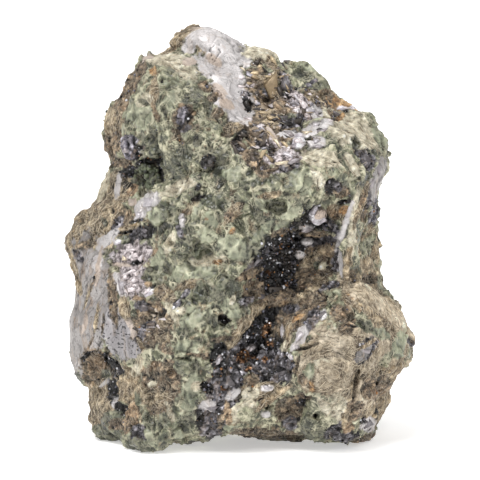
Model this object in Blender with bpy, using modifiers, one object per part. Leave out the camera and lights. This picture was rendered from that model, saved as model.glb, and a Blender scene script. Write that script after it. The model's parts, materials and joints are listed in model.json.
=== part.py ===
"""A hand specimen of nickel ore: one lump of green serpentine rock about 107 mm tall, with metallic sheets,
a dark ore-filled cleft and a tan fibrous boss at the lower right. It is a single solid, broken flat underneath.

The form is surveyed in millimetres on a plane that leans back with the specimen: x runs to the right, h runs
up the plane and d is the distance in front of it, or behind it on the back. The outline is the rock's edge in
that plane. The surveyed points are triangulated, rounded, roughened and thinned out to flat facets, and
crystals, flakes and pits are then fused to the surface or cut from it.
"""

import math
import random

import bmesh
import bpy
from mathutils import Matrix, Vector, noise
from mathutils.bvhtree import BVHTree
from mathutils.geometry import delaunay_2d_cdt
from mathutils.kdtree import KDTree

MM = 0.001
LEAN = math.radians(8)  # how far the survey plane leans back from upright
GROUND_HEIGHT = 3.7  # the rock is broken off level at this height above the survey's foot
RIM_INSET, RIM_DEPTH = 2.0, 3.6  # a ring this far inside the outline stands this far off the plane
RIM_CLEARANCE = 3.0  # the ring skips places this near a surveyed point
VOXEL = 0.9
ROUNDING_PASSES = 2
FACE_SPACING = 6.2  # the least distance between the middles of the rock's broken faces
FLATTENING = 0.9  # how far each broken face is pulled flat, from 0 to 1
SWELL = 0.9  # added all round for what evening out and rounding off take away
FACETS = 4800  # triangles in the lump before crystals and pits are added
SEED = 7

# The rock's edge, clockwise from the peak.
OUTLINE = [
    # peak and upper right slope
    (-11.5, 107), (-6, 106), (-2, 103), (2.5, 101.5), (7.5, 101.5), (9.5, 99), (11.5, 97), (15, 97.5),
    (18.5, 96.5), (21, 94), (22.5, 90), (25.5, 88), (29.5, 86.5), (32.5, 84), (35, 81), (36.8, 77),
    # right shoulder, waist and boss
    (36.8, 72), (35.5, 68), (34.3, 63.5), (34.5, 60), (33.8, 56), (35.2, 51), (34.8, 44.5), (37.5, 39.8),
    (40.5, 36), (41.5, 32.5), (43.5, 28.5), (42.8, 24), (40.5, 20.8), (38, 19), (37.3, 15), (36.3, 12),
    # foot, from right to left
    (34.8, 9.5), (34, 6), (32, 3.5), (28.8, 1.8), (23.8, 1.8), (17.5, 2.3), (12.5, 3.2), (5, 3.5), (0, 4),
    (-4.5, 4.2), (-10, 3.2), (-15, 2), (-18.8, 0.8), (-24.5, 0), (-27, 0.8), (-29.5, 2.5), (-33, 3.2),
    # left side, upwards
    (-35.5, 4.8), (-37.3, 7.5), (-38, 13.5), (-38.3, 17.5), (-41, 19.8), (-42.8, 24.8), (-42.5, 31),
    (-41.5, 36), (-40.5, 40.5), (-41.5, 44.8), (-43, 49), (-43.8, 53.5), (-42.5, 57), (-40, 60.3),
    (-36.3, 63), (-35, 67), (-32.5, 71), (-34, 74.8), (-34.5, 79), (-33.8, 84), (-31.3, 88.5), (-29, 91.5),
    (-27.5, 95), (-25.8, 98.5), (-22, 100.5), (-18.8, 101.3), (-16, 104.5), (-13.5, 106.7),
]  # fmt: skip

# (x, h, d) of the front's landforms.
FRONT = {
    "crown": [(-13, 104.5, 3), (-8.8, 104.5, 4), (-3.8, 102, 4), (0.8, 99, 5)],
    "top_sheet_left_edge": [
        (-14.3, 102, 5), (-11.8, 98.5, 9), (-9.3, 94, 13), (-6.3, 89.8, 16), (-3, 84.8, 19),
    ],
    "top_sheet_right_edge": [(2.5, 97.5, 7), (1.5, 94, 10), (0, 89.8, 13), (0.5, 85.5, 16)],
    "brow_shelf": [(-20, 99.8, 5), (-15.5, 99, 8)],
    "brow": [
        (-28, 93.5, 5), (-25, 97.5, 7), (-22, 98, 11), (-18, 97, 14), (-14.5, 94.5, 16), (-10.8, 92.5, 18),
        (-7.5, 89.3, 20),
    ],
    "head_face": [
        (-28, 87.3, 9), (-22.5, 91, 18), (-16.3, 89.8, 22), (-10, 86, 24), (-4.5, 82.3, 25), (-31.8, 82.3, 5),
        (-26.8, 82.3, 14), (-20, 83.5, 22), (-12.5, 82.3, 26), (-6.3, 78.5, 27),
    ],
    "chin": [(-33, 76, 4), (-29.5, 73.5, 10), (-25, 73.8, 17), (-20.5, 74.8, 21), (-16.3, 73.5, 24)],
    "chin_hollow": [(-30.5, 70.5, 5), (-27, 70.5, 9), (-23.8, 70.8, 11), (-20, 71, 14)],
    "chin_lip": [(-30, 67, 8), (-25, 66, 14), (-20, 65.5, 20), (-15.5, 67.3, 24)],
    "left_shoulder": [
        (-34.5, 65.5, 3), (-35.8, 61.5, 5), (-40, 58.5, 3), (-42, 53.5, 3), (-38, 57.3, 7), (-38.8, 52.3, 7),
        (-33.8, 61, 9), (-34.3, 55.5, 11), (-41.3, 48, 3),
    ],
    "left_ledges": [
        (-28.8, 62.3, 14), (-22.5, 62.3, 20), (-28.8, 58, 15), (-25, 56, 18), (-30.5, 53.5, 14),
    ],
    "left_plane": [
        (-40.5, 44, 2), (-37, 48, 6), (-33.8, 51, 11), (-32, 48, 14), (-39, 38.5, 5), (-40, 31, 4),
        (-40.5, 24, 3), (-38.5, 26, 8),
    ],
    "left_plane_edge": [(-32.5, 42.3, 16), (-33, 36, 17), (-34.5, 29.8, 16), (-35.8, 26, 14)],
    "speckled_sheet": [
        (-32, 34.5, 19), (-28.8, 34, 21), (-25, 27.3, 24), (-28, 23, 21), (-33, 27.3, 17), (-25, 23.5, 24),
    ],
    "flaky_block": [
        (-30.5, 48, 17), (-24.3, 49, 22), (-23.5, 42.3, 23), (-28.8, 40.5, 19), (-27, 44.8, 23),
    ],
    "left_cavity": [
        (-38.8, 20.5, 4), (-35, 23, 9), (-32.5, 20.5, 11), (-29.5, 20.5, 15), (-31.3, 16, 12), (-35, 17.3, 7),
    ],
    "left_column": [
        (-36.8, 13.5, 5), (-34, 13.5, 12), (-34.3, 8.5, 12), (-36, 6.5, 4), (-31.3, 11.5, 13),
        (-30.5, 6.5, 16), (-33.3, 4.3, 9),
    ],
    "left_foot": [
        (-27.5, 18.5, 20), (-28, 13.5, 19), (-25, 9.8, 22), (-27.5, 5.5, 21), (-22.5, 3.5, 25),
        (-28, 1.8, 20), (-24.5, 0.6, 25), (-19.5, 2, 25),
    ],
    "green_crest": [
        (-10, 72.3, 28), (-12.5, 64.8, 26), (-6.3, 63.5, 30), (-8.8, 57.3, 34), (-13.8, 55.5, 31),
        (-6.3, 52.3, 34),
    ],
    "green_block": [
        (-18.8, 62.3, 26), (-10, 61.5, 30), (-5.5, 58.5, 35), (-5.3, 51, 35), (-12.5, 50, 33),
        (-18.8, 52.3, 28), (-20.5, 58, 25),
    ],
    "block_shelf": [
        (-11.3, 47, 27), (-5.8, 48, 29), (-16.3, 47, 25), (-17.5, 42.3, 28), (-12.5, 42.3, 30),
        (-6.3, 42.3, 33), (-1.3, 47.3, 32), (-3.3, 55.5, 30), (0, 59.8, 31), (1.3, 52.3, 32),
    ],
    "shoulder_edge": [
        (0, 76, 26), (5.5, 72, 29), (11.3, 73.5, 30), (16.3, 72.8, 30), (22.5, 73.5, 28), (26.3, 76, 24),
        (28, 71.5, 22),
    ],
    "shoulder_face": [
        (3.8, 66, 31), (11.3, 67.3, 32), (18.8, 67.3, 30), (25, 68.5, 26), (7.5, 60.5, 29), (15, 63.5, 30),
    ],
    "cleft_upper_lip": [
        (16.3, 62.3, 29), (11.3, 58, 30), (6.3, 54, 31), (2.5, 49, 32), (0, 43.5, 32), (-0.8, 37.3, 32),
        (-3, 31, 31), (-7, 27.3, 31),
    ],
    "upper_steps": [
        (4.5, 99.3, 4), (7, 95.5, 7), (10.8, 95.5, 4), (3, 92.5, 12), (7, 92.5, 11), (10.8, 90.5, 12),
        (15, 89.8, 9), (19.5, 91, 5), (15, 94.5, 4),
    ],
    "middle_steps": [
        (2.5, 87.8, 12), (6.3, 86.5, 13), (3.8, 84, 19), (10, 84.8, 17), (16.3, 85.5, 13), (21.3, 87.3, 7),
    ],
    "lower_steps": [
        (1.3, 79.8, 23), (6.3, 78.5, 23), (12.5, 81, 20), (18.8, 81, 16), (25, 84, 9), (29.5, 84, 6),
        (7.5, 74.8, 27), (13.8, 76, 26), (20, 77.3, 23), (26.3, 79.8, 17), (31.3, 81, 9),
    ],
    "right_sheet": [
        (31.3, 76, 15), (34, 76, 9), (32, 71, 15), (34.8, 73.5, 5), (33.8, 67.3, 6), (30.5, 66, 18),
    ],
    "blade": [
        (28, 60.5, 22), (26.5, 53.5, 25), (26, 47.3, 26), (25.8, 42.3, 27), (28, 39, 27), (32, 35, 24),
        (36.3, 32.3, 19), (39.5, 29, 12),
    ],
    "right_wall": [
        (32, 62.3, 9), (30.8, 57.3, 13), (32.5, 53.5, 8), (29.3, 48, 15), (33, 48, 7), (29.3, 43.5, 15),
        (33.3, 42.3, 8), (34.5, 39, 11), (38.3, 36, 8),
    ],
    "cleft_floor": [
        (21.3, 62.3, 22), (24.3, 59.8, 20), (19.5, 55.5, 18), (13, 53.5, 19), (8.8, 51, 21), (22.8, 49.8, 19),
        (16.3, 49, 15), (10.8, 47.3, 14), (5.5, 44.8, 19), (15, 42.3, 16), (8.8, 41, 18), (21.3, 42.3, 20),
        (3.3, 38.5, 22), (10, 34.8, 20), (7.5, 29.8, 19), (15, 36.5, 23), (20, 38.5, 25),
    ],
    "cleft_splinter": [(7, 38.5, 25), (2.5, 33.5, 28), (-2, 28.5, 29)],
    "lower_cleft": [(3.8, 27.3, 21), (0, 24, 24), (5.5, 23, 26), (11.3, 27.3, 26), (12.5, 32.3, 26)],
    "boss_rim": [(16.3, 32.3, 29), (13.8, 26, 30), (13, 19.8, 30), (15, 16, 31)],
    "boss": [
        (22.5, 33.5, 30), (21.3, 27.3, 34), (26.3, 24.8, 34), (23.8, 18.5, 34), (28.8, 29.8, 30),
        (32.5, 27.3, 27), (33.8, 22.3, 24), (39.5, 25.5, 13), (36.3, 20.5, 15), (30, 17.3, 27),
        (34.5, 14.8, 14),
    ],
    "boss_foot": [
        (17.5, 13.5, 26), (11.3, 12.3, 24), (12.5, 7.3, 22), (18.8, 10.5, 27), (21.3, 7.3, 25),
        (26.3, 11, 28), (31.3, 10.5, 21), (32.5, 6.5, 13), (27.5, 4.8, 18), (23.8, 3.5, 17), (18, 4, 15),
    ],
    "lower_middle": [
        (-6.3, 23.5, 30), (-3.8, 19.8, 29), (2.5, 18.5, 29), (8.8, 20.5, 28), (0, 13.5, 28), (6.3, 13.5, 26),
        (-7.5, 13.5, 30), (-3.8, 7.3, 27), (1.3, 8.5, 26), (6.3, 9, 25), (-10, 6.5, 27), (-6.3, 5.8, 26),
    ],
    "arch": [
        (-1.3, 6, 24), (2.5, 7, 22), (7.5, 6.8, 21), (12.5, 5.5, 18), (1.3, 4.3, 6), (6.3, 4.2, 5),
        (12.5, 3.8, 6),
    ],
    "lower_green": [
        (-20, 38.5, 27), (-15, 36, 31), (-7.5, 34.8, 33), (-22.5, 31, 26), (-16.3, 27.3, 31),
        (-11.3, 29.8, 33), (-20, 22.3, 27), (-13.8, 19.8, 31), (-22.5, 14.8, 25), (-16.3, 13.5, 29),
        (-11.3, 14.8, 31), (-18.8, 7.3, 27), (-13.8, 6, 27),
    ],
}  # fmt: skip

# (x, h, distance behind the plane) of the back's landforms.
BACK = {
    "crest": [(-13, 101, 10), (-19, 94, 17), (-6, 95, 19), (6, 94, 14), (16, 90, 11)],
    "upper_face": [
        (-28, 86, 12), (-19, 82, 23), (-5, 84, 25), (9, 82, 22), (22, 80, 17), (31, 75, 12),
    ],
    "ledge_top": [(-31, 72, 13), (-22, 70, 25), (-8, 71, 29), (6, 72, 28), (18, 68, 24), (30, 64, 15)],
    "ledge_foot": [(-26, 63, 20), (-9, 63, 24), (8, 62, 25), (20, 58, 21), (30, 53, 14)],
    "waist": [(-39, 54, 8), (-30, 50, 21), (-16, 53, 29), (0, 50, 28), (15, 46, 28), (28, 43, 22)],
    "belly": [
        (-38, 40, 11), (-32, 36, 23), (-20, 38, 31), (-5, 36, 30), (10, 34, 32), (23, 32, 29),
        (34, 31, 20), (40, 28, 10),
    ],
    "lower_face": [
        (-38, 25, 12), (-33, 21, 21), (-23, 24, 28), (-9, 20, 32), (8, 19, 31), (22, 17, 28), (34, 17, 17),
    ],
    "back_foot": [(-33, 9, 15), (-26, 7, 23), (-13, 6, 28), (3, 5, 30), (17, 5, 27), (29, 7, 17)],
}  # fmt: skip

# Flat flakes fused on the front: (x, h, half width, half height of the field, how many, flake radius).
FLAKE_FIELDS = {
    "top_sheet": (-6, 95, 4, 8, 4, 4.8),
    "steps": (11, 86, 10, 9, 15, 3.4),
    "lower_steps": (14, 78, 9, 3, 6, 3.0),
    "left_ledges": (-26, 60, 4, 4, 4, 2.6),
    "flaky_block": (-27, 45, 2.5, 4, 4, 2.2),
    "speckled_sheet": (-30, 29, 3, 5, 3, 3.4),
    "boss_flakes": (30, 25, 3, 6, 2, 2.2),
}
FLAKE_THICKNESS, FLAKE_SIDES = 1.5, 6
FLAKE_TILT = math.radians(16)

# Blocky crystals fused on the front: (x, h, radius).
CRYSTALS = {
    "black_crystal": (-7.3, 72.5, 2.6),
    "brown_crystal": (-14.3, 83.5, 3.2),
    "grey_crystal": (-27.5, 76, 3.0),
    "small_left": (-14, 40, 1.5),
    "pearl": (19.5, 59.5, 2.8),
    "cleft_upper": (13.5, 52.5, 2.0),
    "cleft_middle": (12, 42, 2.1),
    "cleft_lower": (7.5, 32, 1.8),
    "cleft_foot": (5.5, 25, 2.2),
    "step_block": (2, 87.5, 2.3),
    "foot_crystal": (33, 9.5, 2.4),
}

# Clusters of small round lumps: (x, h, spread, how many, radius).
LUMP_CLUSTERS = {
    "chin_druse": (-24, 70, 4.2, 16, 1.5),
    "cleft_druse": (11, 48, 5.0, 16, 1.4),
    "lower_cleft_druse": (4, 27, 4.5, 12, 1.4),
    "left_druse": (-34, 20, 4.0, 9, 1.4),
}

# Pits cut from the front: (x, h, radius).
PITS = {
    "brow_pit": (-16.8, 94.3, 1.1),
    "cheek_pit": (-21, 80, 1.6),
    "eye_pit": (-10.5, 70, 1.3),
    "dark_pool": (9.5, 61.5, 2.6),
    "seam_pit": (-9.5, 65.5, 1.6),
    "block_pit": (-17.5, 52.5, 1.8),
    "shelf_pit": (-10.5, 52, 1.4),
    "lower_pool": (-3.5, 33, 2.0),
    "green_pool": (-17, 20.5, 1.8),
    "knot_pit": (-8.5, 17.5, 1.5),
    "boss_knot": (19.5, 9.5, 1.5),
    "shoulder_pit": (29.3, 77, 2.0),
    "shoulder_groove": (24.8, 74, 1.7),
    "step_pit": (7, 88, 1.9),
    "step_gap": (3.5, 89.5, 1.4),
    "ledge_gap": (-26.5, 60, 1.2),
}


def seen_at(x, h, d):
    """The place, in metres, of a surveyed point: d is positive in front of the leaning plane."""
    return Vector(
        (x, h * math.sin(LEAN) - d * math.cos(LEAN), h * math.cos(LEAN) + d * math.sin(LEAN))
    ) * MM


def rim_ring(landforms):
    """Points just inside the outline, which round the rock's edge between its front and its back."""
    surveyed = [(x, h) for points in landforms.values() for x, h, _ in points]
    ring = []
    for i, here in enumerate(OUTLINE):
        before, after = Vector(OUTLINE[i - 1]), Vector(OUTLINE[(i + 1) % len(OUTLINE)])
        along = (after - before).normalized()
        x, h = Vector(here) + Vector((along.y, -along.x)) * RIM_INSET
        if all(math.dist((x, h), other) > RIM_CLEARANCE for other in surveyed):
            ring.append((x, h, RIM_DEPTH))
    return ring


def side_of(landforms, facing):
    """(points, triangles) of one side. facing is 1 for the front and -1 for the back."""
    rim = [(x, h, 0) for x, h in reversed(OUTLINE)]
    inner = [point for points in landforms.values() for point in points] + rim_ring(landforms)
    points = rim + inner
    flat = [Vector(point[:2]) for point in points]
    edge = [list(range(len(rim)))]
    verts, _, faces, origins, _, _ = delaunay_2d_cdt(flat, [], edge, 1, 1e-4)
    depths = [points[origin[0]][2] if origin else 0 for origin in origins]
    places = [seen_at(v.x, v.y, d * facing) for v, d in zip(verts, depths)]
    return places, [face[::facing] for face in faces]


def evaluated(obj):
    """The mesh that the object's modifiers give."""
    bpy.context.view_layer.update()
    graph = bpy.context.evaluated_depsgraph_get()
    return bpy.data.meshes.new_from_object(obj.evaluated_get(graph))


def bake(obj):
    """Replaces the object's mesh by what its modifiers give."""
    mesh = evaluated(obj)
    obj.modifiers.clear()
    obj.data = mesh


def surveyed_shell():
    """A closed bmesh of the front and the back, welded along the outline."""
    shell = bmesh.new()
    for landforms, facing in ((FRONT, 1), (BACK, -1)):
        places, faces = side_of(landforms, facing)
        verts = [shell.verts.new(place) for place in places]
        for face in faces:
            shell.faces.new([verts[i] for i in face])
    bmesh.ops.remove_doubles(shell, verts=shell.verts, dist=0.01 * MM)
    bmesh.ops.recalc_face_normals(shell, faces=shell.faces)
    return shell


def object_of(name, shape, collection):
    mesh = bpy.data.meshes.new(name)
    shape.to_mesh(mesh)
    shape.free()
    obj = bpy.data.objects.new(name, mesh)
    collection.objects.link(obj)
    return obj


def remesh(obj, voxel):
    modifier = obj.modifiers.new("even_out", "REMESH")
    modifier.mode = "VOXEL"
    modifier.voxel_size = voxel * MM


def lattice_noise(place, size, seed):
    """Rough fracture texture: ridges and hollows about size millimetres apart, from -1 to 1."""
    at = place / (size * MM) + Vector((seed, -seed, 2 * seed))
    return noise.ridged_multi_fractal(at, 0.9, 2.1, 3, 1.0, 2.0) * 0.5 - 0.6


def broken_plates(place, size, seed):
    """Steps between irregular blocks about size millimetres across, from 0 to 1."""
    at = place / (size * MM) + Vector((seed, seed, -seed))
    return noise.cell(noise.voronoi(at)[1][0] * 3.7)


def roughen(obj):
    """Adds fracture blocks and ridges all over, along the surface's normals."""
    mesh = obj.data
    normals = [v.normal.copy() for v in mesh.vertices]
    for vert, normal in zip(mesh.vertices, normals):
        place = vert.co.copy()
        lift = SWELL + 0.9 * lattice_noise(place, 13.0, SEED)
        lift += 0.5 * lattice_noise(place, 4.5, SEED + 5)
        lift += 1.3 * (broken_plates(place, 8.0, SEED + 9) - 0.5)
        vert.co = place + normal * lift * MM


def flatten_faces(obj, rng):
    """Breaks the surface into flat faces: each vertex moves towards the mean plane of its own face."""
    verts = obj.data.vertices
    order = list(range(len(verts)))
    rng.shuffle(order)
    middles = {}
    for index in order:
        place = verts[index].co
        cell = tuple(int(c // (FACE_SPACING * MM)) for c in place)
        near = [
            middles.get((cell[0] + i, cell[1] + j, cell[2] + k), [])
            for i in (-1, 0, 1) for j in (-1, 0, 1) for k in (-1, 0, 1)
        ]  # fmt: skip
        if all((place - other).length > FACE_SPACING * MM for others in near for other in others):
            middles.setdefault(cell, []).append(place.copy())
    spots = [place for others in middles.values() for place in others]
    tree = KDTree(len(spots))
    for index, place in enumerate(spots):
        tree.insert(place, index)
    tree.balance()
    owner = [tree.find(v.co)[1] for v in verts]
    totals = [[Vector(), Vector(), 0] for _ in spots]
    for vert, index in zip(verts, owner):
        totals[index][0] += vert.co
        totals[index][1] += vert.normal
        totals[index][2] += 1
    for vert, index in zip(verts, owner):
        place_sum, normal_sum, count = totals[index]
        normal = normal_sum.normalized()
        vert.co -= normal * (vert.co - place_sum / count).dot(normal) * FLATTENING


def lump(collection, rng):
    """The rock's body, with its fracture texture, as about FACETS flat facets."""
    body = object_of("nickel_ore", surveyed_shell(), collection)
    remesh(body, VOXEL)
    smooth = body.modifiers.new("round_off", "SMOOTH")
    smooth.factor, smooth.iterations = 0.5, ROUNDING_PASSES
    bake(body)
    flatten_faces(body, rng)
    roughen(body)
    remesh(body, VOXEL)
    bake(body)
    return body


def thin_out(obj, triangles):
    """Merges facets until about that many triangles are left."""
    have = sum(len(face.vertices) - 2 for face in obj.data.polygons)
    decimate = obj.modifiers.new("thin_out", "DECIMATE")
    decimate.ratio = triangles / have
    decimate.use_collapse_triangulate = True
    bake(obj)


def front_surface(obj):
    """A function that gives the surface's point and normal at a survey's (x, h)."""
    shape = bmesh.new()
    shape.from_mesh(obj.data)
    tree = BVHTree.FromBMesh(shape)
    shape.free()
    towards = (seen_at(0, 0, 0) - seen_at(0, 0, 1)).normalized()

    def at(x, h):
        place, normal, _, _ = tree.ray_cast(seen_at(x, h, 80), towards)
        return (place, normal) if place else (None, None)

    return at


def facing(normal, spin, tilt, lean_towards):
    """A rotation that turns +Z to the normal, tilted a little, with a spin about it."""
    turn = normal.to_track_quat("Z", "Y").to_matrix().to_4x4()
    lean = Matrix.Rotation(tilt, 4, Vector((math.cos(lean_towards), math.sin(lean_towards), 0)))
    return turn @ lean @ Matrix.Rotation(spin, 4, "Z")


def flakes(surface, rng, collection):
    """Six-sided flakes that lie on the surface, each half sunk in it."""
    made = []
    for name, (x, h, half_width, half_height, count, radius) in FLAKE_FIELDS.items():
        for number in range(count):
            place, normal = surface(x + rng.uniform(-1, 1) * half_width, h + rng.uniform(-1, 1) * half_height)
            size = radius * rng.uniform(0.7, 1.3) * MM
            turn = facing(normal, rng.uniform(0, 6.3), rng.uniform(-1, 1) * FLAKE_TILT, rng.uniform(0, 6.3))
            shape = bmesh.new()
            bmesh.ops.create_cone(
                shape, cap_ends=True, segments=FLAKE_SIDES, radius1=size, radius2=0.82 * size,
                depth=FLAKE_THICKNESS * MM,
            )  # fmt: skip
            stretch = Matrix.Diagonal((1, rng.uniform(0.55, 0.85), 1, 1))
            bmesh.ops.transform(shape, matrix=Matrix.Translation(place) @ turn @ stretch, verts=shape.verts)
            made.append(object_of(f"{name}_flake_{number}", shape, collection))
    return made


def blocky(radius, rng, subdivisions=1):
    """A lump with flat faces: a coarse ball pulled out of true."""
    shape = bmesh.new()
    bmesh.ops.create_icosphere(shape, subdivisions=subdivisions, radius=radius * MM)
    squash = Matrix.Diagonal((rng.uniform(0.8, 1.1), rng.uniform(0.7, 1.0), rng.uniform(0.7, 0.95), 1))
    spin = Matrix.Rotation(rng.uniform(0, 6.3), 4, Vector((rng.random(), rng.random(), 1)).normalized())
    bmesh.ops.transform(shape, matrix=spin @ squash, verts=shape.verts)
    return shape


def balls(table, name, surface, rng, collection, sink):
    """One blocky ball at each place of the table, its centre sink radii under the surface."""
    made = []
    for key, (x, h, radius) in table.items():
        place, normal = surface(x, h)
        shape = blocky(radius, rng)
        bmesh.ops.translate(shape, verts=shape.verts, vec=place - normal * sink * radius * MM)
        made.append(object_of(f"{name}_{key}", shape, collection))
    return made


def clusters(rng):
    """(x, h, radius) of each lump in the clusters, spread around their middles."""
    found = {}
    for name, (x, h, spread, count, radius) in LUMP_CLUSTERS.items():
        for number in range(count):
            angle, reach = rng.uniform(0, 6.3), spread * math.sqrt(rng.random())
            found[f"{name}_{number}"] = (
                x + reach * math.cos(angle), h + reach * math.sin(angle), radius * rng.uniform(0.6, 1.2),
            )  # fmt: skip
    return found


def combine(obj, tools, operation):
    """Joins the tools to the object, or cuts them from it, one after another."""
    for tool in tools:
        tool.hide_render = True
        tool.display_type = "WIRE"
        modifier = obj.modifiers.new(tool.name, "BOOLEAN")
        modifier.operation = operation
        modifier.object = tool


def ground(collection):
    """A block whose top is the level on which the rock stands."""
    block = bmesh.new()
    side = 200 * MM
    bmesh.ops.create_cube(block, size=side)
    bmesh.ops.translate(block, verts=block.verts, vec=(0, 0, GROUND_HEIGHT * MM - side / 2))
    return object_of("ground", block, collection)


def drop_crumbs(obj):
    """Keeps the largest body: the cuts can leave crumbs that hold to nothing."""
    shape = bmesh.new()
    shape.from_mesh(obj.data)
    waiting, bodies = set(shape.verts), []
    while waiting:
        body, edge_of_search = set(), [waiting.pop()]
        while edge_of_search:
            vert = edge_of_search.pop()
            body.add(vert)
            for edge in vert.link_edges:
                other = edge.other_vert(vert)
                if other in waiting:
                    waiting.discard(other)
                    edge_of_search.append(other)
        bodies.append(body)
    bodies.sort(key=len)
    for body in bodies[:-1]:
        bmesh.ops.delete(shape, geom=list(body), context="VERTS")
    shape.to_mesh(obj.data)
    shape.free()


def stand_on_origin(obj):
    """Moves the rock so that the middle of its footprint's box is the origin."""
    corners = [vert.co for vert in obj.data.vertices]
    low = Vector(min(c[i] for c in corners) for i in range(3))
    high = Vector(max(c[i] for c in corners) for i in range(3))
    obj.data.transform(Matrix.Translation((-(low.x + high.x) / 2, -(low.y + high.y) / 2, -low.z)))


def ore_material():
    material = bpy.data.materials.new("serpentine_ore")
    material.use_nodes = True
    shader = material.node_tree.nodes["Principled BSDF"]
    shader.inputs["Base Color"].default_value = (0.23, 0.22, 0.16, 1)
    shader.inputs["Roughness"].default_value = 0.6
    shader.inputs["Metallic"].default_value = 0.0
    return material


def main():
    for obj in list(bpy.data.objects):
        bpy.data.objects.remove(obj)
    specimen = bpy.data.collections.new("nickel_ore_specimen")
    tools = bpy.data.collections.new("tools")
    for collection in (specimen, tools):
        bpy.context.scene.collection.children.link(collection)

    rng = random.Random(SEED)
    rock = lump(specimen, rng)
    thin_out(rock, FACETS)

    surface = front_surface(rock)
    grown = flakes(surface, rng, tools)
    grown += balls(CRYSTALS, "crystal", surface, rng, tools, 0.25)
    grown += balls(clusters(rng), "lump", surface, rng, tools, 0.1)
    combine(rock, grown, "UNION")
    combine(rock, balls(PITS, "pit", surface, rng, tools, 0.15) + [ground(tools)], "DIFFERENCE")
    bake(rock)
    drop_crumbs(rock)
    stand_on_origin(rock)
    rock.data.materials.clear()
    rock.data.materials.append(ore_material())


main()
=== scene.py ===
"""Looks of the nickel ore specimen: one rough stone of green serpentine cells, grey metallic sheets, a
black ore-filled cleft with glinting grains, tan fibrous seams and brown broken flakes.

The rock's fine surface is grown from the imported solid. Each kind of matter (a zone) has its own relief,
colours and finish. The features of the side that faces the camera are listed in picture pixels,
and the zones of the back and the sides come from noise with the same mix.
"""

import json
import math

import bpy
import numpy as np
from mathutils import Matrix, Vector, noise
from mathutils.bvhtree import BVHTree

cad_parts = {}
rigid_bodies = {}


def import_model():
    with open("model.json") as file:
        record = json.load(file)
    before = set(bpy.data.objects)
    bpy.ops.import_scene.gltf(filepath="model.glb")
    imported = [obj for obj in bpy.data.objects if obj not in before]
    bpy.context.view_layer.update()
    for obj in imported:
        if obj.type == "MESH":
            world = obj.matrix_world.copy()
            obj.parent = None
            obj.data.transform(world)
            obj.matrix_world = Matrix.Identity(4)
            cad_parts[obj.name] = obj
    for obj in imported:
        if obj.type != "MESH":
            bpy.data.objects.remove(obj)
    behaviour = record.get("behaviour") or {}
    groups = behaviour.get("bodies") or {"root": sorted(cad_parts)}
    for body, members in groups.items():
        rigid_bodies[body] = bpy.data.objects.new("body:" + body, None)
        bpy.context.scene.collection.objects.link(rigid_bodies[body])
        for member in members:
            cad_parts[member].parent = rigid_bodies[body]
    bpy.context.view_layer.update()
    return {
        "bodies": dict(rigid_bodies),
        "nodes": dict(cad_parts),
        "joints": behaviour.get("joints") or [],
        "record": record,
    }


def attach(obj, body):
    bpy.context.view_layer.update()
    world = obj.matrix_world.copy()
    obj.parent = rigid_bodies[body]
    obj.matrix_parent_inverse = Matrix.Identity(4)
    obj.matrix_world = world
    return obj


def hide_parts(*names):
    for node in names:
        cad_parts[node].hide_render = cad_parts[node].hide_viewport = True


MM = 0.001
SEED = 11

# The camera looks along +Y from a little above, through a long lens.
PICTURE = 480  # pixels along each side
PIXEL = 0.25 * MM  # what one pixel covers at the rock's middle
DISTANCE = 1.6
ELEVATION = math.radians(8)
ROCK_MIDDLE = (239.5, 239.5)  # the pixel at the middle of the rock's outline
SENSOR = 36
RIGHT = Vector((1, 0, 0))
UP = Vector((0, math.sin(ELEVATION), math.cos(ELEVATION)))
INTO = Vector((0, math.cos(ELEVATION), -math.sin(ELEVATION)))

# The studio. Suns: name, where the light comes from, how wide the sun looks in degrees, strength.
SUNS = [
    ("key", (-0.30, -0.42, 1.0), 30, 2.0),
    ("glint", (0.25, -0.75, 0.9), 6, 0.35),
    ("back", (0.3, 0.6, 1.0), 60, 0.5),
]
SKY_STRENGTH = 0.48
FLOOR_HALF, FLOOR_COLOUR, FLOOR_ROUGHNESS, FLOOR_GLOW = 6, 0.93, 0.9, 0.42

VOXEL = 0.33  # spacing of the fine surface, in mm
ROUNDING_PASSES = 14
FLAT_PASSES = 140  # how far the metallic sheets are levelled
FLAT_SHARE = 0.85
HOLLOW_PASSES = 80  # the reach of the painted shade in the hollows
HOLLOW_DEPTH = 0.9  # mm, how deep a hollow is when its painted shade is full
PROUD_PASSES = 14  # the reach of the painted highlight on small bumps
PROUD_HEIGHT = 0.22  # mm
CRACK_DEPTH, PIT_DEPTH, SEAM_DEPTH, CREASE_DEPTH = 0.5, 0.45, 0.08, 0.35  # mm
SHEET_WAY = (RIGHT * 0.8 - UP * 0.6) * 1.6  # the top sheet's plates are drawn out this way, and so much
LARGE_CELL, SMALL_CELL = 4.8, 2.4  # the serpentine's scooped cells, in mm
BUMP = 0.10 * MM  # the height of the finest grain, which the material draws
PIECES = 5  # the fine surface is split like this to keep each piece light

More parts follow.
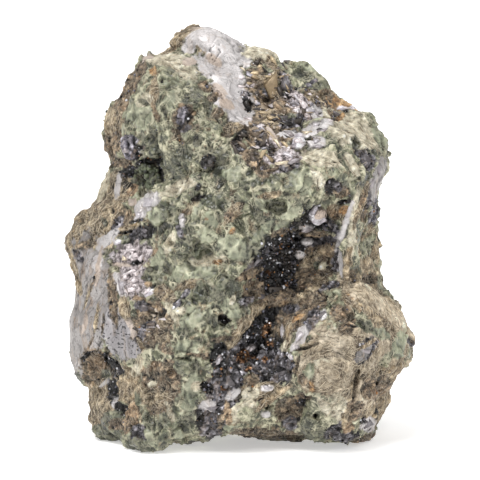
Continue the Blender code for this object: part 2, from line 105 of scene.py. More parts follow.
# Zone: three colours from dark to light (0 to 255), metallic, roughness, and how rough its grain is.
ZONES = {
    "green": ((48, 50, 38), (122, 123, 99), (212, 207, 176), 0.0, 0.30, 0.10),
    "pale": ((96, 101, 82), (146, 149, 126), (214, 210, 184), 0.0, 0.26, 0.06),
    "deep": ((36, 38, 30), (82, 85, 68), (158, 155, 128), 0.0, 0.22, 0.08),
    "cream": ((130, 122, 102), (200, 193, 173), (238, 231, 213), 0.0, 0.60, 0.35),
    "tan": ((56, 44, 33), (132, 115, 90), (210, 192, 162), 0.0, 0.70, 0.5),
    "wool": ((80, 66, 52), (154, 140, 118), (216, 203, 182), 0.0, 0.75, 0.3),
    "brown": ((38, 31, 27), (96, 81, 66), (162, 140, 114), 0.1, 0.50, 0.7),
    "rust": ((80, 62, 46), (142, 118, 92), (194, 170, 140), 0.1, 0.60, 0.6),
    "ochre": ((100, 72, 44), (162, 124, 82), (208, 174, 128), 0.0, 0.60, 0.5),
    "peach": ((142, 127, 116), (186, 171, 159), (216, 203, 194), 0.1, 0.50, 0.2),
    "silver": ((146, 141, 140), (200, 195, 194), (232, 228, 227), 0.20, 0.42, 0.10),
    "lead": ((92, 87, 83), (148, 143, 140), (194, 189, 187), 0.20, 0.42, 0.10),
    "speckled": ((108, 105, 106), (158, 154, 155), (202, 198, 200), 0.20, 0.42, 0.10),
    "crinkled": ((84, 74, 74), (164, 154, 154), (236, 227, 228), 0.2, 0.36, 0.2),
    "steel": ((46, 43, 48), (102, 98, 105), (180, 176, 183), 0.15, 0.60, 0.3),
    "slate": ((36, 35, 38), (84, 81, 84), (150, 147, 152), 0.5, 0.34, 0.4),
    "black": ((10, 10, 10), (34, 32, 31), (84, 81, 80), 0.3, 0.30, 0.5),
    "copper": ((46, 36, 30), (122, 88, 62), (216, 176, 138), 0.8, 0.32, 0.5),
    "pearl": ((150, 144, 150), (206, 200, 206), (242, 239, 244), 0.1, 0.30, 0.2),
}

# Zone: relief in mm from cells, webbed ridges, large blocks, small blocks, crystal facets, shingles and
# fine noise.
RELIEF = {
    "green": (0.95, 0.45, 0.80, 0.03, 0.00, 0.00, 0.01),
    "pale": (0.80, 0.25, 0.70, 0.02, 0.00, 0.00, 0.00),
    "deep": (1.10, 0.25, 0.80, 0.04, 0.00, 0.00, 0.01),
    "cream": (0.20, 0.32, 0.22, 0.02, 0.00, 0.05, 0.03),
    "tan": (0.10, 0.34, 0.45, 0.06, 0.00, 0.05, 0.03),
    "wool": (0.00, 0.40, 0.50, 0.03, 0.00, 0.00, 0.03),
    "brown": (0.00, 0.25, 0.50, 0.34, 0.15, 0.15, 0.04),
    "rust": (0.00, 0.30, 0.40, 0.35, 0.15, 0.10, 0.05),
    "ochre": (0.00, 0.30, 0.40, 0.20, 0.05, 0.10, 0.04),
    "peach": (0.00, 0.00, 0.08, 0.02, 0.00, 0.55, 0.01),
    "silver": (0.00, 0.00, 0.05, 0.01, 0.00, 0.42, 0.01),
    "lead": (0.00, 0.00, 0.08, 0.01, 0.00, 0.55, 0.01),
    "speckled": (0.00, 0.00, 0.08, 0.01, 0.00, 0.45, 0.01),
    "crinkled": (0.00, 0.15, 0.20, 0.22, 0.14, 0.20, 0.03),
    "steel": (0.00, 0.20, 0.35, 0.55, 0.45, 0.20, 0.06),
    "slate": (0.00, 0.15, 0.45, 0.50, 0.20, 0.20, 0.02),
    "black": (0.00, 0.20, 0.45, 0.60, 0.45, 0.00, 0.06),
    "copper": (0.00, 0.10, 0.30, 0.35, 0.40, 0.00, 0.05),
    "pearl": (0.00, 0.00, 0.15, 0.30, 0.10, 0.20, 0.01),
}

# Zone: how much of its surface is webbed with pale threads, matted with fibres, plated, sparkling and
# pitted.
FINISHES = ("webbed", "matted", "plated", "sparkling", "pitted")
FINISH = {
    "green": (1.00, 0.00, 0.00, 0.00, 0.0),
    "pale": (0.30, 0.10, 0.00, 0.00, 0.0),
    "deep": (0.35, 0.00, 0.00, 0.03, 0.0),
    "cream": (0.50, 0.80, 0.00, 0.00, 0.0),
    "tan": (0.10, 1.00, 0.00, 0.00, 0.0),
    "wool": (0.00, 1.00, 0.00, 0.00, 0.0),
    "brown": (0.10, 0.55, 0.15, 0.15, 0.0),
    "rust": (0.00, 0.50, 0.10, 0.08, 0.0),
    "ochre": (0.00, 0.50, 0.00, 0.00, 0.0),
    "peach": (0.00, 0.10, 0.60, 0.00, 0.0),
    "silver": (0.00, 0.00, 0.65, 0.00, 0.1),
    "lead": (0.00, 0.00, 1.00, 0.00, 0.0),
    "speckled": (0.00, 0.00, 0.60, 0.00, 1.0),
    "crinkled": (0.00, 0.00, 1.00, 0.10, 0.0),
    "steel": (0.00, 0.00, 1.00, 0.10, 0.0),
    "slate": (0.00, 0.05, 0.60, 0.25, 0.0),
    "black": (0.00, 0.00, 0.15, 0.70, 0.0),
    "copper": (0.00, 0.00, 0.10, 0.80, 0.0),
    "pearl": (0.00, 0.00, 0.40, 0.00, 0.0),
}

# These zones' tones follow another zone's noise.
FOLLOWS = {
    "pale": "green", "deep": "green", "cream": "tan", "ochre": "brown", "rust": "brown", "peach": "silver",
    "lead": "silver", "speckled": "silver", "steel": "black", "slate": "brown", "copper": "black",
    "pearl": "brown",
}  # fmt: skip
EVEN_GLOSS = ("silver", "speckled", "pearl")  # their light tones aren't rougher than their dark ones
CRISP = ("black", "slate", "copper", "crinkled", "steel", "brown")  # they have flat faces with sharp edges

# The zones of the sides and the back: zone, size in mm, seed, and the noise from which it begins and where
# it is full.
HIDDEN_GROUNDS = [
    ("tan", 24, 21, 0.10, 0.15), ("silver", 22, 22, 0.26, 0.29), ("brown", 17, 23, 0.28, 0.32),
    ("slate", 14, 24, 0.36, 0.39), ("black", 13, 25, 0.42, 0.45), ("cream", 11, 26, 0.34, 0.39),
]  # fmt: skip

# Features of the front, painted in this order: (zone, pixel x, pixel y, half length, half width, turn in
# degrees anticlockwise, lift in mm). Turn and lift are 0 where they are left out. Wide grounds come first
# and small marks last.
FEATURES = [
    # grounds
    ("tan", 380, 390, 38, 30, 80), ("wool", 388, 330, 40, 34, -40), ("tan", 78, 232, 34, 26, 80),
    ("tan", 92, 225, 30, 28, 60), ("tan", 114, 195, 26, 14, 70), ("wool", 345, 370, 50, 48, 20),
    ("tan", 372, 306, 42, 22, -42), ("brown", 262, 112, 44, 34, -40), ("brown", 318, 100, 20, 12, -20),
    ("lead", 84, 305, 68, 28, 88), ("speckled", 118, 332, 30, 16, -72, 0.2), ("tan", 100, 402, 44, 16, 88),
    ("brown", 152, 325, 26, 22, 80), ("brown", 160, 385, 30, 20, 80), ("tan", 132, 392, 30, 12, 110),
    ("black", 290, 262, 44, 36, 50), ("black", 262, 335, 40, 22, 60), ("brown", 318, 262, 34, 18, 60),
    ("slate", 226, 385, 48, 18, 75), ("slate", 272, 366, 24, 18), ("slate", 212, 418, 24, 16, 80),
    ("brown", 300, 312, 34, 14, 40), ("cream", 350, 128, 34, 18, -35), ("cream", 325, 158, 28, 8, -5),
    ("green", 312, 410, 26, 22, 80), ("tan", 258, 392, 26, 9, 5), ("cream", 244, 412, 16, 10, 20),
    # the head, top left
    ("tan", 212, 44, 30, 16, -24, 1.9), ("brown", 130, 88, 34, 7, 62), ("brown", 112, 142, 18, 10, 80),
    ("tan", 115, 119, 16, 10, 70, 0.3), ("brown", 122, 105, 8, 6, 20), ("cream", 168, 60, 28, 8, -8),
    ("cream", 186, 70, 14, 8, -28), ("tan", 172, 46, 14, 5, 40), ("tan", 190, 31, 14, 6, 20),
    ("silver", 206, 38, 20, 9, -24, 0.2), ("green", 186, 50, 8, 4, -20), ("silver", 222, 37, 26, 7, -28),
    ("silver", 220, 48, 38, 13, -22), ("silver", 222, 72, 30, 14, -30), ("silver", 231, 96, 25, 19, -45),
    ("silver", 239, 112, 14, 12, -50), ("silver", 189, 47, 9, 6, -40), ("tan", 175, 43, 9, 5, 55),
    ("tan", 185, 33, 14, 5, 25), ("peach", 197, 32, 7, 3), ("peach", 148, 57, 7, 5, 20),
    ("peach", 189, 62, 5, 8, 80), ("peach", 219, 90, 9, 5, -35), ("peach", 227, 104, 8, 5, -30),
    ("peach", 214, 62, 9, 4, -30), ("ochre", 153, 71, 5, 4, 60, -0.2), ("tan", 154, 92, 16, 4, 85),
    ("rust", 156, 113, 10, 3, 110), ("pale", 144, 118, 14, 10, 70, 0.3), ("pale", 131, 112, 9, 6, 60),
    ("cream", 145, 100, 9, 6, 30), ("deep", 153, 138, 8, 6, 20, -0.3), ("deep", 143, 102, 6, 3, -30, -0.4),
    ("deep", 166, 76, 5, 6), ("black", 162, 82, 2, 2, 0, -0.4), ("deep", 192, 96, 14, 9, 60, -0.4),
    ("deep", 200, 84, 8, 5, -30), ("brown", 205, 87, 8, 4, -30), ("brown", 213, 97, 6, 5),
    ("brown", 218, 112, 6, 6, 0, 0.2), ("green", 180, 92, 9, 7), ("pale", 171, 100, 12, 4, 80),
    ("steel", 130, 148, 14, 12, -10, 0.6), ("black", 138, 145, 7, 3, -50, 0.3), ("black", 139, 154, 4, 3),
    ("brown", 183, 118, 14, 10, 70, 0.2), ("steel", 183, 116, 10, 7, 70, 0.6),
    ("black", 187, 119, 7, 4, 80, 0.3), ("slate", 184, 128, 7, 4, 10, 0.2), ("brown", 178, 136, 11, 3, -55),
    ("rust", 181, 105, 3, 2), ("black", 209, 163, 8, 7, 50, 0.7), ("deep", 178, 165, 12, 9, 30),
    # the black marks at 148, 162 and 160, 172 are painted shadow under the head
    ("brown", 122, 163, 12, 5), ("black", 130, 172, 10, 6, 10, -0.4), ("black", 148, 162, 14, 4, 10, -0.5),
    ("black", 160, 172, 10, 4, 100, -0.6), ("deep", 147, 176, 12, 12), ("black", 128, 185, 6, 4, 0, -0.3),
    # the left shoulder
    ("cream", 103, 186, 18, 5, 70), ("silver", 118, 186, 14, 3, 85), ("rust", 133, 190, 8, 5, 60),
    ("silver", 148, 203, 17, 8, 28, 0.3), ("peach", 133, 202, 5, 4), ("black", 146, 205, 5, 1, 30, -0.3),
    ("silver", 140, 216, 9, 4, 30, 0.2), ("brown", 124, 218, 10, 8, 30), ("slate", 118, 224, 9, 5, 50),
    ("black", 136, 221, 8, 1.6, 15, -0.5), ("tan", 128, 229, 10, 4, 15),
    ("black", 125, 232, 8, 1.6, 10, -0.5), ("slate", 140, 234, 14, 7, 35, 0.4),
    ("black", 149, 230, 8, 5, 90, -0.3), ("black", 131, 243, 6, 3, 20), ("silver", 106, 240, 14, 5, 40),
    ("silver", 97, 262, 8, 7, 60, 0.2), ("pearl", 117, 242, 4, 3, 0, 0.3), ("slate", 78, 256, 8, 4, -60),
    ("brown", 114, 212, 4, 3, 0, -0.4), ("brown", 86, 245, 12, 4, 10), ("deep", 104, 222, 5, 3, -60, -0.4),
    ("brown", 90, 240, 3, 2, 0, -0.5), ("brown", 107, 201, 4, 2, 30, -0.5),
    # the left sheets
    ("peach", 98, 268, 22, 2, 80), ("tan", 96, 318, 18, 1.8, 80), ("lead", 104, 295, 34, 5, 88),
    ("tan", 88, 296, 16, 1.5, 72), ("brown", 103, 324, 12, 1.3, 82, -0.1),
    ("brown", 90, 344, 10, 1.3, 62, -0.1), ("peach", 84, 322, 14, 1.6, 78),
    ("brown", 93, 281, 9, 1.2, 70, -0.1), ("tan", 76, 275, 24, 4, -75), ("brown", 113, 298, 28, 5, 96, -0.2),
    ("crinkled", 132, 256, 20, 13, 15, 0.4), ("crinkled", 132, 281, 19, 17, 80, 0.3),
    ("peach", 122, 265, 10, 2, -5), ("black", 137, 263, 6, 3, 20, -0.4), ("silver", 120, 288, 16, 4, 110),
    ("rust", 148, 284, 4, 3), ("pearl", 149, 293, 6, 3, 40, 0.2), ("black", 152, 287, 4, 2, 30, -0.3),
    ("rust", 140, 299, 9, 3, -10), ("peach", 133, 332, 24, 3, 115), ("speckled", 134, 350, 12, 7, -50),
    ("tan", 125, 308, 12, 6, 100), ("slate", 142, 306, 9, 6, 0, 0.2), ("brown", 150, 313, 14, 8),
    ("black", 164, 313, 5, 3, 70, -0.3), ("slate", 149, 326, 9, 5, 30, 0.2), ("tan", 165, 322, 8, 4),
    ("brown", 158, 337, 16, 9), ("slate", 140, 337, 7, 5, 50), ("tan", 162, 338, 10, 5),
    ("brown", 165, 350, 10, 4, -30), ("tan", 142, 348, 12, 3, -60),
    # the lower left cavity, column and foot
    ("brown", 100, 364, 22, 15, -20, -0.5), ("rust", 94, 366, 9, 8), ("black", 86, 356, 8, 3, 40, -0.3),
    ("black", 112, 365, 16, 6, -40, -0.5), ("brown", 92, 378, 10, 7), ("slate", 118, 372, 7, 3, 45, 0.2),
    ("deep", 105, 374, 6, 5), ("black", 113, 392, 14, 6, 95, -0.8), ("silver", 114, 402, 6, 3, 85, 0.3),
    ("silver", 105, 383, 7, 2, 40), ("black", 122, 410, 10, 6, -60, -0.3), ("deep", 110, 418, 12, 7, 30),
    ("deep", 108, 434, 18, 9, -10), ("brown", 116, 424, 8, 6), ("rust", 131, 415, 14, 8, 70),
    ("brown", 128, 425, 9, 6, 60), ("slate", 140, 436, 12, 10, 60, 0.2), ("deep", 141, 446, 14, 8),
    ("deep", 147, 420, 30, 4, 112, 0.2), ("pale", 150, 438, 10, 4, 110), ("tan", 128, 385, 18, 7, 60),
    ("brown", 160, 372, 14, 8), ("tan", 158, 398, 12, 8), ("rust", 171, 375, 4, 4),
    ("cream", 152, 384, 5, 3, 20), ("cream", 138, 365, 12, 5, 70), ("green", 155, 355, 12, 6, -10),
    # the stairs of broken flakes
    ("cream", 262, 54, 20, 8, -5, 0.6), ("brown", 258, 62, 8, 4, 15, -0.5), ("tan", 273, 66, 12, 4, -50),
    ("brown", 256, 72, 12, 5, -10), ("tan", 262, 78, 12, 3, -10, 0.2), ("brown", 256, 87, 14, 6, -10, -0.3),
    ("crinkled", 250, 84, 5, 3), ("slate", 268, 92, 6, 5, 30), ("brown", 264, 100, 14, 4, -45, -0.6),
    ("black", 247, 104, 9, 5, 95, 0.3), ("slate", 245, 95, 5, 5, 0, 0.2), ("pearl", 272, 76, 5, 4, 0, 0.2),
    ("tan", 275, 90, 13, 5, 95, 0.6), ("slate", 286, 84, 14, 5, -70, 0.5), ("black", 287, 96, 5, 5, 0, -0.3),
    ("crinkled", 301, 106, 18, 10, -58, 0.3), ("silver", 317, 112, 8, 6, -60),
    ("slate", 292, 121, 14, 7, 12, 0.3), ("deep", 287, 116, 9, 3), ("silver", 316, 128, 20, 6, 25, 0.2),
    ("silver", 288, 135, 10, 4, 0, 0.2), ("tan", 270, 118, 9, 8, -40), ("pearl", 299, 142, 8, 6, 80, 1.0),
    ("silver", 316, 142, 9, 7, 20, 0.2), ("brown", 314, 139, 7, 1.5, 0, -0.3),
    ("slate", 262, 138, 16, 7, -65, 0.3), ("brown", 270, 143, 12, 3, -65, -0.3),
    ("slate", 240, 148, 14, 5, -50, 0.2), ("brown", 253, 158, 12, 8, -30),
    ("crinkled", 280, 148, 16, 7, -25, 0.3), ("crinkled", 282, 158, 20, 8, 5, 0.4),
    ("peach", 272, 134, 9, 3, -50), ("brown", 263, 170, 9, 8), ("slate", 287, 168, 15, 4, 18),
    ("tan", 232, 128, 10, 6), ("black", 241, 135, 8, 4, 45, -0.4), ("brown", 227, 135, 7, 4, 0, -0.2),
    ("rust", 255, 163, 4, 3), ("green", 307, 76, 20, 12, -25, 0.2), ("deep", 299, 73, 9, 5, 20, -0.2),
    ("steel", 312, 84, 7, 4, 30), ("deep", 318, 86, 8, 4, 10, -0.2), ("pale", 308, 68, 8, 3, -20),
    ("tan", 318, 97, 14, 5, -10), ("ochre", 334, 102, 10, 6, -60), ("ochre", 349, 105, 11, 3, -25),
    ("brown", 330, 96, 7, 3, 100), ("brown", 333, 115, 8, 4, -55, -0.3),
    ("black", 336, 119, 6, 1.4, -15, -0.4), ("ochre", 341, 117, 5, 3, 45),
    ("pearl", 343, 108, 6, 2.5, 0, 0.2), ("black", 346, 111, 3, 1.5, 0, -0.2),
    ("pearl", 354, 107, 4, 2, 0, 0.2),
    # the right shoulder
    ("deep", 355, 143, 8, 6, 80, -0.8), ("deep", 345, 160, 16, 5, -60, -0.5),
    ("cream", 352, 165, 14, 4, -60, 0.3), ("black", 357, 153, 8, 3, -60, -0.5),
    ("slate", 366, 160, 12, 8, 100, 0.5), ("lead", 382, 170, 16, 7, 70, 0.2),
    ("lead", 374, 190, 18, 7, 65, 0.2), ("deep", 373, 152, 5, 3, 0, -0.3), ("pale", 378, 135, 12, 5, -60),
    ("slate", 366, 203, 12, 4, 80, -0.3), ("slate", 374, 212, 16, 5, 80),
    ("brown", 364, 215, 8, 4, 80, -0.2),
    # the green middle
    ("deep", 275, 206, 13, 8, -20, -0.7), ("deep", 258, 212, 6, 5, 0, -0.3),
    ("deep", 245, 186, 6, 5, 0, -0.3), ("deep", 214, 202, 15, 7, -5, -0.3),
    ("deep", 287, 193, 5, 3, 0, -0.2), ("tan", 271, 195, 12, 4, 10), ("tan", 233, 212, 12, 6, 55),
    ("brown", 229, 216, 5, 4), ("ochre", 232, 231, 3, 3), ("deep", 207, 172, 6, 4, 60),
    ("pale", 232, 175, 9, 7, 0, 0.2), ("pale", 300, 182, 14, 8, -50, 0.2), ("deep", 250, 250, 8, 14, -30),
    ("pale", 232, 248, 16, 11, -25, 0.2), ("pale", 288, 218, 18, 5, 45, 0.1),
    ("pale", 262, 232, 16, 5, 45, 0.1), ("cream", 318, 178, 12, 5, -50), ("black", 331, 186, 9, 7, 60, -0.5),
    ("black", 198, 198, 8, 3, 20, -0.4), ("slate", 198, 187, 4, 3, 60, 0.2),
    ("black", 172, 178, 4, 1.5, 45, -0.3), ("cream", 178, 188, 20, 6, 25), ("deep", 167, 210, 9, 7, -20),
    ("pale", 156, 218, 7, 9, 0, 0.2), ("deep", 161, 230, 6, 4, 60, -0.3),
    ("slate", 180, 231, 9, 3.5, 100, 0.2), ("silver", 182, 221, 8, 3, 95, 0.2), ("ochre", 206, 219, 2, 1.6),
    # the deep mark at 192, 243 is painted shadow under the ledge
    ("deep", 192, 243, 13, 6, -10, -0.7), ("deep", 174, 245, 6, 4, -30, -0.4),
    ("deep", 205, 252, 16, 5, 5, -0.5), ("brown", 187, 212, 6, 3), ("pale", 205, 235, 9, 8, 0, 0.3),
    ("pale", 190, 273, 24, 9, 2, 0.2), ("cream", 208, 261, 18, 5, 8, 0.2),
    ("cream", 168, 245, 16, 5, 60, 0.1), ("pale", 158, 262, 16, 6, 75), ("rust", 155, 252, 5, 2, 60),
    ("tan", 190, 285, 16, 5, 12), ("tan", 165, 294, 12, 8, -40), ("brown", 163, 291, 6, 4, 30),
    ("brown", 167, 300, 3, 2), ("deep", 150, 274, 10, 6, 40, -0.3), ("deep", 157, 273, 4, 3, 90),
    ("slate", 186, 294, 7, 3, 50, 0.4), ("slate", 177, 304, 5, 4, 40, 0.3), ("cream", 172, 312, 13, 4, -60),
    ("ochre", 217, 262, 5, 3), ("deep", 204, 292, 13, 9, -60, -0.2), ("deep", 224, 285, 14, 8, 60),
    ("pale", 232, 308, 10, 9, 0, 0.3), ("deep", 217, 322, 14, 7, -20, -0.4),
    ("black", 226, 320, 6, 4, 0, -0.3), ("deep", 186, 332, 10, 6, 0, -0.2),
    ("pale", 191, 318, 12, 9, 50, 0.2), ("cream", 181, 311, 5, 4), ("deep", 200, 341, 8, 4, -20, -0.2),
    ("pale", 187, 345, 12, 6, 0, 0.1), ("brown", 198, 355, 12, 2.5, 0, -0.2),
    ("deep", 187, 366, 12, 9, 0, -0.2), ("pale", 192, 388, 14, 9, 70, 0.3), ("cream", 196, 386, 5, 5),
    ("black", 207, 388, 7, 5, -30, -0.3), ("brown", 206, 357, 5, 3), ("pale", 188, 405, 7, 6, 0, 0.2),
    ("deep", 186, 422, 12, 9, 60, -0.3), ("deep", 165, 422, 9, 9, 0, -0.3), ("cream", 172, 418, 20, 3, 110),
    ("pale", 178, 434, 14, 5, 110, 0.1), ("deep", 163, 436, 8, 6, 0, -0.2), ("cream", 233, 300, 6, 3, 60),
    # the cleft
    ("tan", 337, 212, 12, 8, -10), ("rust", 333, 214, 8, 4, -20), ("ochre", 344, 210, 5, 4, 30),
    ("black", 345, 202, 9, 3, 10, -0.3), ("brown", 342, 192, 8, 6), ("slate", 338, 187, 4, 5, 0, 0.2),
    ("black", 316, 218, 14, 12, 10, -0.4), ("pearl", 318, 216, 9, 8, 20, 1.4), ("peach", 321, 213, 7, 5, 20),
    ("silver", 306, 228, 8, 3, 0, 0.2), ("slate", 332, 226, 14, 4, -50, 0.3),
    ("slate", 322, 241, 20, 4, 10, 0.3), ("brown", 313, 234, 14, 3, 0, 0.3),
    ("black", 305, 239, 16, 2.4, 0, -0.6), ("silver", 307, 242, 6, 3, 0, 0.4),
    ("brown", 282, 233, 14, 4, 15), ("slate", 264, 255, 14, 3, 50, 0.2), ("slate", 255, 264, 14, 3, 30, 0.2),
    ("silver", 300, 255, 5, 4, 0, 0.2), ("tan", 318, 253, 14, 4, 25, 0.3), ("tan", 310, 262, 9, 5, 20, 0.2),
    ("cream", 323, 266, 5, 4, 0, 0.5), ("deep", 317, 266, 3, 5), ("slate", 337, 262, 12, 5, 80),
    ("brown", 250, 274, 14, 5, 20), ("brown", 252, 289, 12, 10, 0, 0.1), ("slate", 246, 301, 8, 4, 20, 0.3),
    ("tan", 320, 283, 8, 6, 30, 0.1), ("slate", 330, 286, 12, 4, 25, 0.3),
    ("brown", 280, 298, 16, 8, 20, 0.4), ("tan", 258, 308, 11, 6, 45, 0.4),
    ("tan", 244, 325, 14, 6, 50, 0.4), ("tan", 233, 341, 10, 5, 50, 0.3), ("brown", 262, 300, 6, 2.5, 30),
    ("rust", 284, 304, 5, 3, 10), ("tan", 306, 294, 14, 3, 35, 0.1), ("slate", 292, 309, 9, 5, 0, 0.2),
    ("slate", 312, 320, 14, 6, 60, 0.3), ("ochre", 297, 319, 8, 2.4, 30, 0.1),
    ("silver", 323, 314, 6, 3, 70, 0.2), ("silver", 302, 334, 10, 6, 70, 0.3),
    ("silver", 295, 346, 6, 3, 50, 0.2), ("tan", 288, 336, 15, 4, 82, 0.5),
    ("cream", 285, 346, 6, 3, 70, 0.3), ("silver", 282, 331, 7, 1.6, 85, 0.2),
    ("copper", 266, 330, 9, 4, 70), ("copper", 269, 343, 4, 3), ("copper", 287, 284, 3, 2.5),
    ("copper", 269, 273, 3, 3), ("copper", 243, 357, 8, 6, 50, 0.2), ("copper", 253, 357, 3, 2.5, 0, 0.3),
    ("copper", 265, 360, 4, 3), ("copper", 224, 388, 4, 3, 0, 0.3), ("copper", 247, 370, 5, 2, 30),
    ("crinkled", 251, 348, 6, 3, 30, 0.2), ("black", 218, 356, 14, 8, 80),
    ("crinkled", 219, 360, 6, 3, 60, 0.2), ("pearl", 291, 357, 4, 2.5, -50, 0.3),
    ("slate", 233, 377, 12, 11, 0, 0.2), ("silver", 233, 394, 8, 5, 40, 0.1),
    ("black", 270, 375, 9, 3, 40, -0.2), ("silver", 267, 388, 7, 3.5, 0, 0.2),
    ("brown", 251, 380, 8, 7, 0, 0.2), ("cream", 250, 394, 10, 6, 30, 0.1), ("brown", 222, 339, 11, 3, 10),
    ("rust", 228, 414, 12, 4, 95), ("silver", 209, 405, 9, 6, 0, 0.1), ("black", 200, 420, 10, 4, 80, -0.2),
    ("brown", 221, 420, 9, 4, 80), ("deep", 262, 410, 9, 8, 0, -0.2), ("silver", 266, 415, 4, 4, 0, 0.1),
    ("green", 246, 414, 9, 7), ("black", 264, 402, 6, 4, 0, -0.2),
    # the blade, the right wall and the boss
    ("cream", 352, 235, 48, 4, 82, 0.3), ("silver", 345, 225, 26, 3, 70, 0.1),
    ("tan", 347, 268, 26, 4, 84, 0.3), ("tan", 361, 205, 24, 4, 72, 0.2), ("rust", 362, 200, 10, 2, 60),
    ("silver", 341, 262, 16, 2.4, 95, 0.1), ("tan", 368, 250, 24, 12, 85), ("green", 366, 246, 14, 7, 60),
    ("brown", 370, 279, 12, 5, 5, -0.6), ("brown", 352, 280, 9, 5, 80, -0.6),
    ("tan", 352, 298, 22, 3.0, -52, 0.1), ("ochre", 356, 304, 14, 1.2, -45),
    ("tan", 392, 326, 20, 8, -38, 0.2), ("wool", 376, 307, 42, 12, -38, 0.8),
    ("tan", 376, 318, 26, 3.0, -38, 0.3), ("deep", 362, 322, 18, 6, -38, -0.8),
    ("green", 356, 316, 12, 7, -30, -0.6), ("wool", 330, 345, 24, 12, 15, 0.9),
    ("wool", 325, 373, 28, 20, 0, 1.3), ("cream", 328, 368, 14, 6, -40, 0.4), ("pale", 312, 372, 8, 6, 60),
    ("cream", 338, 392, 10, 5, 60, 0.2), ("brown", 344, 314, 16, 8, -20, -0.4),
    ("brown", 346, 330, 9, 7, 0, -0.3), ("cream", 335, 330, 4, 3), ("black", 352, 326, 8, 1.4, -10, -0.4),
    ("wool", 320, 350, 22, 9, 10), ("wool", 335, 378, 22, 16, 30), ("brown", 307, 347, 14, 2, 15, -0.9),
    ("brown", 356, 384, 17, 3, 82, -1.3), ("brown", 297, 366, 12, 2, 80, -0.6),
    ("slate", 366, 350, 16, 8, 55, 0.2), ("lead", 363, 353, 11, 5, 55, 0.1), ("tan", 366, 345, 12, 2, 30),
    ("wool", 390, 350, 20, 13, 70, 0.6), ("pale", 398, 345, 15, 7, 75, 0.2), ("green", 386, 358, 9, 5, 50),
    ("pale", 382, 334, 9, 5, -30), ("slate", 408, 341, 8, 4, -45), ("deep", 409, 352, 8, 3, 70),
    ("brown", 373, 386, 17, 13, 20, 0.9), ("tan", 352, 388, 18, 4, 85), ("brown", 356, 405, 9, 5, 0, -0.2),
    ("tan", 384, 370, 24, 4, 14, 0.5), ("ochre", 313, 386, 7, 3, 100, 0.1), ("brown", 304, 380, 6, 4),
    ("brown", 290, 412, 17, 14, 60, -1.6), ("brown", 303, 397, 9, 5, 0, -0.4),
    ("black", 302, 404, 8, 4, 10, -0.3), ("tan", 272, 398, 24, 4, 35, 0.7), ("slate", 290, 425, 8, 5),
    ("green", 316, 418, 21, 16, 80, 1.0), ("deep", 306, 425, 12, 6, 80), ("black", 316, 415, 4, 3, 80, -0.9),
    ("cream", 326, 405, 12, 4, -50, 0.2), ("cream", 338, 408, 12, 8, 80), ("deep", 320, 434, 14, 6),
    ("slate", 334, 430, 12, 6, 40, 0.1), ("rust", 348, 428, 8, 5, 60), ("brown", 352, 415, 10, 7, 20),
    ("tan", 345, 418, 10, 3, 80), ("slate", 345, 438, 14, 6, 10), ("silver", 368, 424, 11, 8, -20, 0.5),
    # the brown mark at 268, 434 is painted shadow under the arch between the feet
    ("black", 362, 420, 4, 3, 0, -0.2), ("brown", 364, 440, 14, 5, 20), ("brown", 268, 434, 36, 7, -3),
    ("black", 376, 410, 4, 3),
]  # fmt: skip

# Stretches of the front that are darker or lighter as a whole: (pixel x, pixel y, half length, half width,
# turn in degrees anticlockwise, how bright from 1).
SHADES = [
    (333, 372, 46, 34, 10, 0.74), (380, 310, 34, 13, -45, 1.48), (398, 352, 22, 12, 75, 1.10),
    (368, 392, 22, 16, 0, 1.22), (367, 252, 14, 22, 0, 1.08), (140, 442, 13, 10, 0, 0.68),
    (188, 271, 22, 11, 0, 1.1), (178, 395, 34, 26, 80, 0.85), (175, 118, 44, 28, 80, 0.76),
    (144, 118, 10, 8, 60, 0.84), (284, 266, 24, 22, 0, 1.4), (264, 332, 18, 14, 0, 0.68),
    # the stretch at 268, 436 is painted shadow under the arch between the feet
    (316, 418, 18, 14, 80, 0.74), (268, 436, 40, 8, -3, 0.35), (228, 372, 30, 14, 90, 0.85),
    (158, 332, 18, 14, 0, 0.66), (160, 388, 20, 18, 0, 0.78), (92, 230, 20, 20, 0, 0.78),
    (115, 190, 18, 12, 90, 0.82), (100, 405, 24, 12, 90, 0.60), (102, 368, 20, 18, 0, 0.66),
    (285, 118, 44, 36, -50, 1.08), (307, 78, 18, 14, 0, 1.55), (320, 158, 22, 9, 0, 1.2),
    (112, 120, 18, 9, 90, 1.06),
]  # fmt: skip

# The outline's last corrections, by picture row: (pixel y, left edge's and right edge's move in pixels).
OUTLINE = [
    (20, -5, 4), (34, -5, 2), (44, -5, -8), (54, 5.5, 6), (66, 6, -2), (78, 5, 2), (90, 3, -3), (102, 4, -6),
    (114, 2, 2), (126, 1, 2), (138, 4, 4), (162, 4, 7), (175, -1, 6), (186, -2, 0), (198, 0, 3),
    (210, -8, 4), (222, -3, 3), (234, -5, -4), (250, -2, -3), (270, -4, 0), (306, -6, 4), (318, -9, 2),
    (330, -6, 3), (342, 1, 3), (354, -2, 4), (378, -3, 5), (390, 4, -2), (402, -1, 1), (420, -2, 2),
    (460, 0, 0),
]  # fmt: skip
OUTLINE_REACH = 45  # pixels, how far in from the edge the corrections fade out
